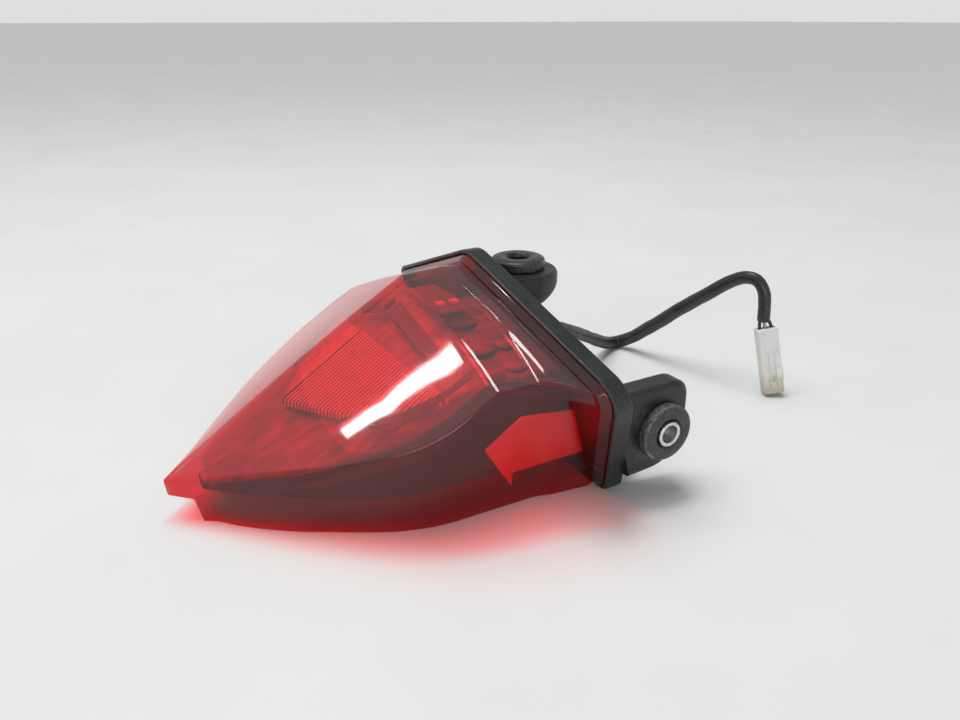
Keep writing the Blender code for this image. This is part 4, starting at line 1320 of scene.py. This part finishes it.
class Shader:
    """A material under construction: short names for its nodes and links."""

    def __init__(self, name):
        self.material = bpy.data.materials.new(name)
        self.material.use_nodes = True
        self.tree = self.material.node_tree
        self.surface = self.tree.nodes["Principled BSDF"]
        self.output = self.tree.nodes["Material Output"]
        self.place = self.node("ShaderNodeTexCoord").outputs["Object"]

    def node(self, kind, **values):
        made = self.tree.nodes.new(kind)
        for key, value in values.items():
            setattr(made, key, value)
        return made

    def link(self, source, target):
        self.tree.links.new(source, target)

    def axis(self, vector, letter):
        made = self.node("ShaderNodeSeparateXYZ")
        self.link(vector, made.inputs["Vector"])
        return made.outputs[letter]

    def scaled(self, stretch):
        mapping = self.node("ShaderNodeMapping")
        mapping.inputs["Scale"].default_value = stretch
        self.link(self.place, mapping.inputs["Vector"])
        return mapping.outputs["Vector"]

    def noise(self, scale, detail=3.0, roughness=0.55, stretch=(1, 1, 1)):
        made = self.node("ShaderNodeTexNoise")
        self.link(self.scaled(stretch), made.inputs["Vector"])
        made.inputs["Scale"].default_value = scale
        made.inputs["Detail"].default_value = detail
        made.inputs["Roughness"].default_value = roughness
        return made.outputs["Fac"]

    def spots(self, scale):
        made = self.node("ShaderNodeTexVoronoi")
        self.link(self.place, made.inputs["Vector"])
        made.inputs["Scale"].default_value = scale
        return made.outputs["Distance"]

    def ramp(self, factor, *stops):
        made = self.node("ShaderNodeValToRGB")
        set_stops(made.color_ramp.elements, stops)
        self.link(factor, made.inputs["Fac"])
        return made.outputs["Color"]

    def clouds(self, scale, low, high, detail=4.0, span=(0.3, 0.7), roughness=0.55):
        """Noise that blends from one value or colour to another over a span of its strength."""
        factor = self.noise(scale, detail, roughness)
        return self.ramp(factor, (span[0], low), (span[1], high))

    def mix(self, factor, first, second):
        made = self.node("ShaderNodeMix", data_type="RGBA")
        self.link(factor, made.inputs["Factor"])
        for value, socket in ((first, made.inputs["A"]), (second, made.inputs["B"])):
            if isinstance(value, tuple):
                socket.default_value = (*value, 1.0)
            else:
                self.link(value, socket)
        return made.outputs["Result"]

    def mix_shaders(self, *sources):
        """Blend two shaders; the first source is the factor."""
        made = self.node("ShaderNodeMixShader")
        for source, socket in zip(sources, made.inputs):
            self.link(source, socket)
        return made.outputs["Shader"]

    def color(self, source):
        self.link(source, self.surface.inputs["Base Color"])

    def rough(self, source):
        self.link(source, self.surface.inputs["Roughness"])

    def math(self, operation, *values):
        made = self.node("ShaderNodeMath", operation=operation)
        for value, socket in zip(values, made.inputs):
            if isinstance(value, (int, float)):
                socket.default_value = value
            else:
                self.link(value, socket)
        return made.outputs[0]

    def bump(self, height, strength, distance):
        made = self.node("ShaderNodeBump")
        made.inputs["Strength"].default_value = strength
        made.inputs["Distance"].default_value = distance
        self.link(height, made.inputs["Height"])
        previous = self.surface.inputs["Normal"]
        if previous.is_linked:
            self.link(previous.links[0].from_socket, made.inputs["Normal"])
        self.link(made.outputs["Normal"], previous)

    def set(self, **values):
        for key, value in values.items():
            self.surface.inputs[key.replace("_", " ")].default_value = value

    def worn_edges(self, base, worn, low, high):
        """Lighten raised edges, where the surface is rubbed."""
        raised = self.node("ShaderNodeNewGeometry").outputs["Pointiness"]
        edge = self.math("MULTIPLY_ADD", self.noise(900.0, 4.0), EDGE_GRAIN, raised)
        shift = EDGE_GRAIN / 2
        mask = self.ramp(edge, (low + shift, 0.0), (high + shift, 1.0))
        return self.mix(mask, base, worn)


def mottled(name, color, rough, bump, stretch=(1, 1, 1)):
    """Colour and roughness from clouds of noise, and fine relief from a third."""
    shader = Shader(name)
    shader.color(shader.clouds(*color))
    shader.rough(shader.clouds(*rough))
    scale, detail, strength, distance = bump
    shader.bump(shader.noise(scale, detail, stretch=stretch), strength, distance)
    return shader.material


def housing_material():
    """Black moulded plastic with fine grain and rubbed edges."""
    shader = Shader("black housing")
    base = shader.clouds(60.0, (0.009, 0.0095, 0.010), (0.018, 0.019, 0.020))
    shader.color(shader.worn_edges(base, (0.07, 0.072, 0.075), 0.52, 0.6))
    shader.rough(shader.clouds(220.0, 0.34, 0.5, 5.0, (0.3, 0.75)))
    shader.bump(shader.noise(1400.0, 4.0), 0.18, 0.0002)
    return shader.material


def lens_material():
    """Clear red acrylic that tints light, with faint swirl marks, and a haze of dust on the upper
    faces that also paints the sky's sheen there.
    """
    shader = Shader("clear red lens")
    shader.set(Transmission_Weight=1.0, IOR=1.0, Coat_Weight=1.0, Coat_IOR=1.5, Coat_Roughness=0.04)
    shader.surface.inputs["Base Color"].default_value = (*LENS_COLOR, 1.0)
    shader.rough(shader.clouds(90.0, 0.02, 0.06, 5.0, (0.35, 0.8), 0.6))
    shader.bump(shader.noise(35.0, 2.0), 0.05, 0.0004)
    passing = shader.node("ShaderNodeBsdfTransparent")
    passing.inputs["Color"].default_value = (*LENS_SHADOW, 1.0)
    film = shader.node("ShaderNodeBsdfDiffuse")
    film.inputs["Color"].default_value = (*LENS_DUST_AND_SHEEN, 1.0)
    geometry = shader.node("ShaderNodeNewGeometry")
    # painted sheen: the film grows on faces that turn up, where the sky's reflection falls, on top
    # of the real dust there
    upward = shader.ramp(shader.axis(geometry.outputs["Normal"], "Z"), (0.25, 0.006), (0.75, 0.050))
    outside = shader.math("SUBTRACT", 1.0, geometry.outputs["Backfacing"])
    share = shader.math("MULTIPLY", upward, outside)
    matt_haze = shader.mix_shaders(share, shader.surface.outputs["BSDF"], film.outputs["BSDF"])
    shadow_ray = shader.node("ShaderNodeLightPath").outputs["Is Shadow Ray"]
    tinted = shader.mix_shaders(shadow_ray, matt_haze, passing.outputs["BSDF"])
    shader.link(tinted, shader.output.inputs["Surface"])
    return shader.material


def carrier_material():
    """Smoked plastic under the lens: painted light makes faces that turn upward paler and streaked,
    and side walls stay dark as painted shade.
    """
    shader = Shader("smoked carrier")
    normal = shader.node("ShaderNodeNewGeometry").outputs["Normal"]
    # painted light: the more a face turns up, the paler its colour; side walls keep the dark smoked
    # tone as painted shade
    upward = shader.ramp(shader.axis(normal, "Z"), (0.15, 0.0), (0.60, 1.0))
    streaks = shader.noise(170.0, 5.0, 0.65, stretch=(0.35, 1.6, 1.0))
    pale = shader.ramp(streaks, (0.36, (0.15, 0.10, 0.10)), (0.62, (0.34, 0.24, 0.23)))
    dark = shader.clouds(90.0, (0.010, 0.008, 0.008), (0.03, 0.02, 0.02))
    shader.color(shader.mix(upward, dark, pale))
    shader.rough(shader.clouds(300.0, 0.28, 0.45))
    shader.bump(shader.noise(900.0, 4.0), 0.1, 0.0002)
    return shader.material


def ribbed_material(name, first_rib, pitch, groove, crest):
    """Frosted plate whose ribs run square to Y; painted shade darkens the grooves between them."""
    shader = Shader(name)
    across = shader.math("ABSOLUTE", shader.axis(shader.place, "Y"))
    count = shader.math("MULTIPLY_ADD", across, 1000.0 / pitch, 0.5 - first_rib / pitch)
    share = shader.math("FRACT", count)
    offset = shader.math("ABSOLUTE", shader.math("SUBTRACT", share, 0.5))
    # painted shade: the colour darkens from the rib crests into the grooves
    ribs = shader.ramp(offset, (0.24, crest), (0.40, groove))
    shader.color(shader.mix(shader.clouds(160.0, 0.72, 1.0), (0.0, 0.0, 0.0), ribs))
    shader.rough(shader.clouds(400.0, 0.22, 0.38, 3.0))
    shader.bump(shader.spots(1600.0), 0.25, 0.0001)
    shader.set(Coat_Weight=0.5, Coat_Roughness=0.1)
    return shader.material


def rubber_material(name, dark, light, rough, matt_haze):
    """Moulded rubber with a matt bloom that gathers on its edges and in patches."""
    shader = Shader(name)
    base = shader.clouds(120.0, dark, light, span=(0.3, 0.75))
    bloom = shader.clouds(260.0, 0.0, 0.7, 6.0, (0.60, 0.80), 0.7)
    marked = shader.mix(bloom, base, matt_haze)
    shader.color(shader.worn_edges(marked, matt_haze, 0.51, 0.57))
    shader.rough(shader.clouds(500.0, *rough))
    shader.bump(shader.noise(1800.0, 4.0), 0.2, 0.0002)
    return shader.material


def zinc_material():
    """Zinc-plated steel: crystalline patches, fine scratches and dull spots."""
    shader = Shader("zinc plating")
    patches = shader.spots(900.0)
    shader.color(shader.ramp(patches, (0.1, (0.55, 0.56, 0.55)), (0.7, (0.78, 0.79, 0.77))))
    shader.rough(shader.clouds(700.0, 0.24, 0.46, 5.0))
    shader.bump(shader.noise(900.0, 3.0, stretch=(1, 6, 1)), 0.12, 0.0001)
    shader.set(Metallic=1.0)
    return shader.material


def sheath_material():
    """Soft black vinyl sleeve, creased, with a waxy bloom."""
    shader = Shader("black vinyl sleeve")
    dark, light = (0.012, 0.013, 0.014), (0.035, 0.036, 0.038)
    base = shader.clouds(150.0, dark, light, span=(0.3, 0.75))
    scuffs = shader.clouds(520.0, 0.0, 1.0, 6.0, (0.6, 0.78), 0.7)
    shader.color(shader.mix(scuffs, base, (0.09, 0.09, 0.09)))
    shader.rough(shader.clouds(300.0, 0.3, 0.5))
    shader.bump(shader.noise(260.0, 3.0), 0.3, 0.0005)
    shader.bump(shader.noise(1500.0, 3.0), 0.12, 0.0002)
    return shader.material


def insulation_material(name, dark, light):
    """Extruded wire insulation: slightly glossy, with fine lines along it."""
    color, rough = (400.0, dark, light, 4.0, (0.35, 0.7)), (900.0, 0.3, 0.48, 3.0)
    return mottled(name, color, rough, (1200.0, 3.0, 0.12, 0.0002), stretch=(1, 1, 0.2))


def nylon_material():
    """Milky nylon, darker and yellower towards its foot."""
    shader = Shader("milky nylon")
    blotch_noise = shader.noise(420.0, 6.0, 0.65)
    height = shader.math("MULTIPLY_ADD", blotch_noise, 0.02, shader.axis(shader.place, "Z"))
    # darker and yellower near the bottom, with a noisy boundary
    low = shader.ramp(height, (0.012, 0.8), (0.022, 0.0))
    clean = shader.clouds(180.0, (0.66, 0.67, 0.65), (0.78, 0.785, 0.76), 3.0)
    shader.color(shader.mix(low, clean, (0.40, 0.33, 0.20)))
    shader.rough(shader.ramp(blotch_noise, (0.3, 0.3), (0.7, 0.5)))
    shader.bump(shader.noise(1100.0, 4.0), 0.12, 0.0002)
    shader.set(Subsurface_Weight=0.35, Subsurface_Scale=0.0015)
    return shader.material


def board_material():
    """Grey solder mask with faint copper runs underneath."""
    shader = Shader("board mask")
    mask = shader.clouds(90.0, (0.20, 0.21, 0.20), (0.27, 0.28, 0.27), 3.0)
    runs = shader.node("ShaderNodeTexBrick")
    shader.link(shader.scaled((260.0, 260.0, 260.0)), runs.inputs["Vector"])
    runs.inputs["Mortar Size"].default_value = 0.06
    runs.inputs["Scale"].default_value = 1.0
    shader.color(shader.mix(runs.outputs["Fac"], mask, (0.15, 0.17, 0.13)))
    shader.rough(shader.clouds(300.0, 0.35, 0.5, 3.0))
    shader.bump(runs.outputs["Fac"], 0.3, 0.00005)
    return shader.material


def chip_material():
    """Lamp package: pale ceramic with a yellow phosphor face."""
    shader = Shader("lamp package")
    shader.color(shader.clouds(900.0, (0.85, 0.75, 0.36), (0.92, 0.86, 0.55), 3.0))
    shader.rough(shader.clouds(1500.0, 0.25, 0.4, 3.0))
    shader.bump(shader.spots(2600.0), 0.2, 0.0001)
    return shader.material


def brass_material():
    """Tinned brass with dull tarnish."""
    shader = Shader("tinned contact")
    tarnish = shader.noise(700.0, 6.0, 0.7)
    shader.color(shader.ramp(tarnish, (0.35, (0.42, 0.36, 0.24)), (0.65, (0.75, 0.70, 0.58))))
    shader.rough(shader.ramp(tarnish, (0.3, 0.28), (0.7, 0.5)))
    shader.bump(shader.noise(2200.0), 0.15, 0.0001)
    shader.set(Metallic=1.0)
    return shader.material


def dress_cad_nodes(materials):
    """Give each CAD node that stays in view its finished material."""
    for prefix, material in materials:
        for name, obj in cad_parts.items():
            if name.startswith(prefix):
                for slot in obj.material_slots:
                    slot.material = material


# ---------------------------------------------------------------- stage

CAMERA_PLACE = (-106.7, -246.9, 152.6)
CAMERA_AHEAD = (0.460, 0.797, -0.391)
FOCAL_LENGTH = 30.2  # mm, on a sensor 36 mm wide
FLOOR_REACH = 30000.0
LIGHTS = (  # name, place (m), turn from straight down (degrees; None faces the part), size (m), W
    ("strip", (-0.508, 0.345, 1.14), -8.5, (0.43, 0.038), 1.6),
    ("glint panel", (0.03, 0.20, 1.14), 0.0, (0.46, 0.20), 4.4),
    ("low front", (-0.55, -1.1, 0.42), None, (1.2, 0.4), 4.6),
)
SUN_FROM = (-0.16, 0.34, 0.95)
SUN_STRENGTH = 1.85
SUN_SPREAD = 50.0
ROOM = ((0.0, 0.74), (0.1, 0.74), (0.3, 0.42), (0.55, 0.28))  # height of the view, brightness


def aim(ahead):
    return Vector(ahead).to_track_quat("-Z", "Y").to_euler()


def make_camera():
    data = bpy.data.cameras.new("Camera")
    data.lens = FOCAL_LENGTH
    data.sensor_width = 36.0
    data.clip_start = 0.01
    camera = add_object("Camera", data)
    camera.location = Vector(CAMERA_PLACE) * MM
    camera.rotation_euler = aim(CAMERA_AHEAD)
    bpy.context.scene.camera = camera


def make_lights():
    """A broad sun that casts no mirror image of itself, and three soft rectangles."""
    data = bpy.data.lights.new("Sun", "SUN")
    data.energy = SUN_STRENGTH
    data.angle = math.radians(SUN_SPREAD)
    sun = add_object("Sun", data)
    sun.rotation_euler = aim(-Vector(SUN_FROM))
    sun.visible_glossy = False
    for name, place_at, turn, size, power in LIGHTS:
        data = bpy.data.lights.new(name, "AREA")
        data.shape = "RECTANGLE"
        data.size, data.size_y = size
        data.energy = power
        light = add_object(name, data)
        light.location = place_at
        down = turn is not None
        light.rotation_euler = (0, 0, math.radians(turn)) if down else aim(-light.location)


def make_world():
    """A pale room: bright walls near the horizon, a darker ceiling."""
    world = bpy.data.worlds.new("World")
    world.use_nodes = True
    nodes, links = world.node_tree.nodes, world.node_tree.links
    direction = nodes.new("ShaderNodeTexCoord").outputs["Generated"]
    height = nodes.new("ShaderNodeSeparateXYZ")
    links.new(direction, height.inputs["Vector"])
    ramp = nodes.new("ShaderNodeValToRGB")
    tinted = [(level, (value * 0.985, value, value * 1.005)) for level, value in ROOM]
    set_stops(ramp.color_ramp.elements, tinted)
    links.new(height.outputs["Z"], ramp.inputs["Fac"])
    links.new(ramp.outputs["Color"], nodes["Background"].inputs["Color"])
    bpy.context.scene.world = world


def make_stage():
    corners = ((-1, -1), (1, -1), (1, 1), (-1, 1))
    points = [(x * FLOOR_REACH, y * FLOOR_REACH, 0.0) for x, y in corners]
    floor = add_mesh("floor", points, [(0, 1, 2, 3)])
    floor.data.materials.append(mottled(
        "pale sheet",
        (9.0, (0.60, 0.615, 0.61), (0.64, 0.65, 0.645)),
        (60.0, 0.5, 0.65),
        (900.0, 3.0, 0.05, 0.0003),
    ))
    make_world()
    bpy.context.scene.view_settings.view_transform = "Standard"
    make_lights()


def main():
    make_camera()
    black_wire = insulation_material("black insulation", (0.015, 0.015, 0.016), (0.04, 0.04, 0.042))
    grey_wire = insulation_material("grey insulation", (0.38, 0.39, 0.39), (0.55, 0.55, 0.54))
    brown_wire = insulation_material("brown insulation", (0.05, 0.022, 0.012), (0.10, 0.045, 0.025))
    nylon = nylon_material()
    wires = (
        ("wire_lead_black", "wire_black", "vinyl", black_wire),
        ("wire_lead_grey", "wire_grey", "grey_insulation", grey_wire),
        ("wire_lead_brown", "wire_brown", "brown_insulation", brown_wire),
    )
    make_pigtail(sheath_material(), wires, nylon, brass_material())
    make_lens(lens_material())
    black = housing_material()
    make_housing(black)
    rubber = rubber_material(
        "mount rubber", (0.026, 0.027, 0.028), (0.046, 0.047, 0.049), (0.45, 0.62), (0.20,) * 3
    )
    glossy = rubber_material(
        "smooth rubber", (0.015, 0.016, 0.017), (0.03, 0.03, 0.032), (0.28, 0.42), (0.08,) * 3
    )
    make_grommets(rubber, glossy)
    zinc = zinc_material()
    make_sleeves(zinc)
    make_gland(glossy)
    make_vent(black)
    make_carrier(carrier_material())
    make_diffusers(
        ribbed_material("ribbed wing", 1.05, 1.25, (0.10, 0.07, 0.07), (0.78, 0.68, 0.64)),
        ribbed_material("ribbed light bar", 2.51, 0.85, (0.04, 0.03, 0.03), (0.15, 0.12, 0.12)),
    )
    make_fins(mottled(
        "fin plastic",
        (60.0, (0.05, 0.03, 0.04), (0.10, 0.07, 0.07)),
        (220.0, 0.2, 0.35, 5.0, (0.3, 0.75)),
        (900.0, 4.0, 0.1, 0.0002),
    ))
    make_side_plates(mottled(
        "satin plating",
        (45.0, (0.84, 0.82, 0.82), (0.94, 0.92, 0.91), 3.0),
        (300.0, 0.38, 0.52),
        (80.0, 2.0, 0.12, 0.0004),
    ))
    board, chip = board_material(), chip_material()
    make_lamp_chips(board, chip)
    sealant = rubber_material("sealant bead", (0.05,) * 3, (0.09,) * 3, (0.6, 0.8), (0.15,) * 3)
    dress_cad_nodes((
        ("seal_bead", sealant),
        ("main_board", board),
        ("main_led", chip),
        ("driver_chip", glossy),
        ("diode", glossy),
        ("board_header", nylon),
        ("board_screw", zinc),
        ("inner_lead", black_wire),
    ))
    make_stage()


main()
bpy.context.view_layer.update()
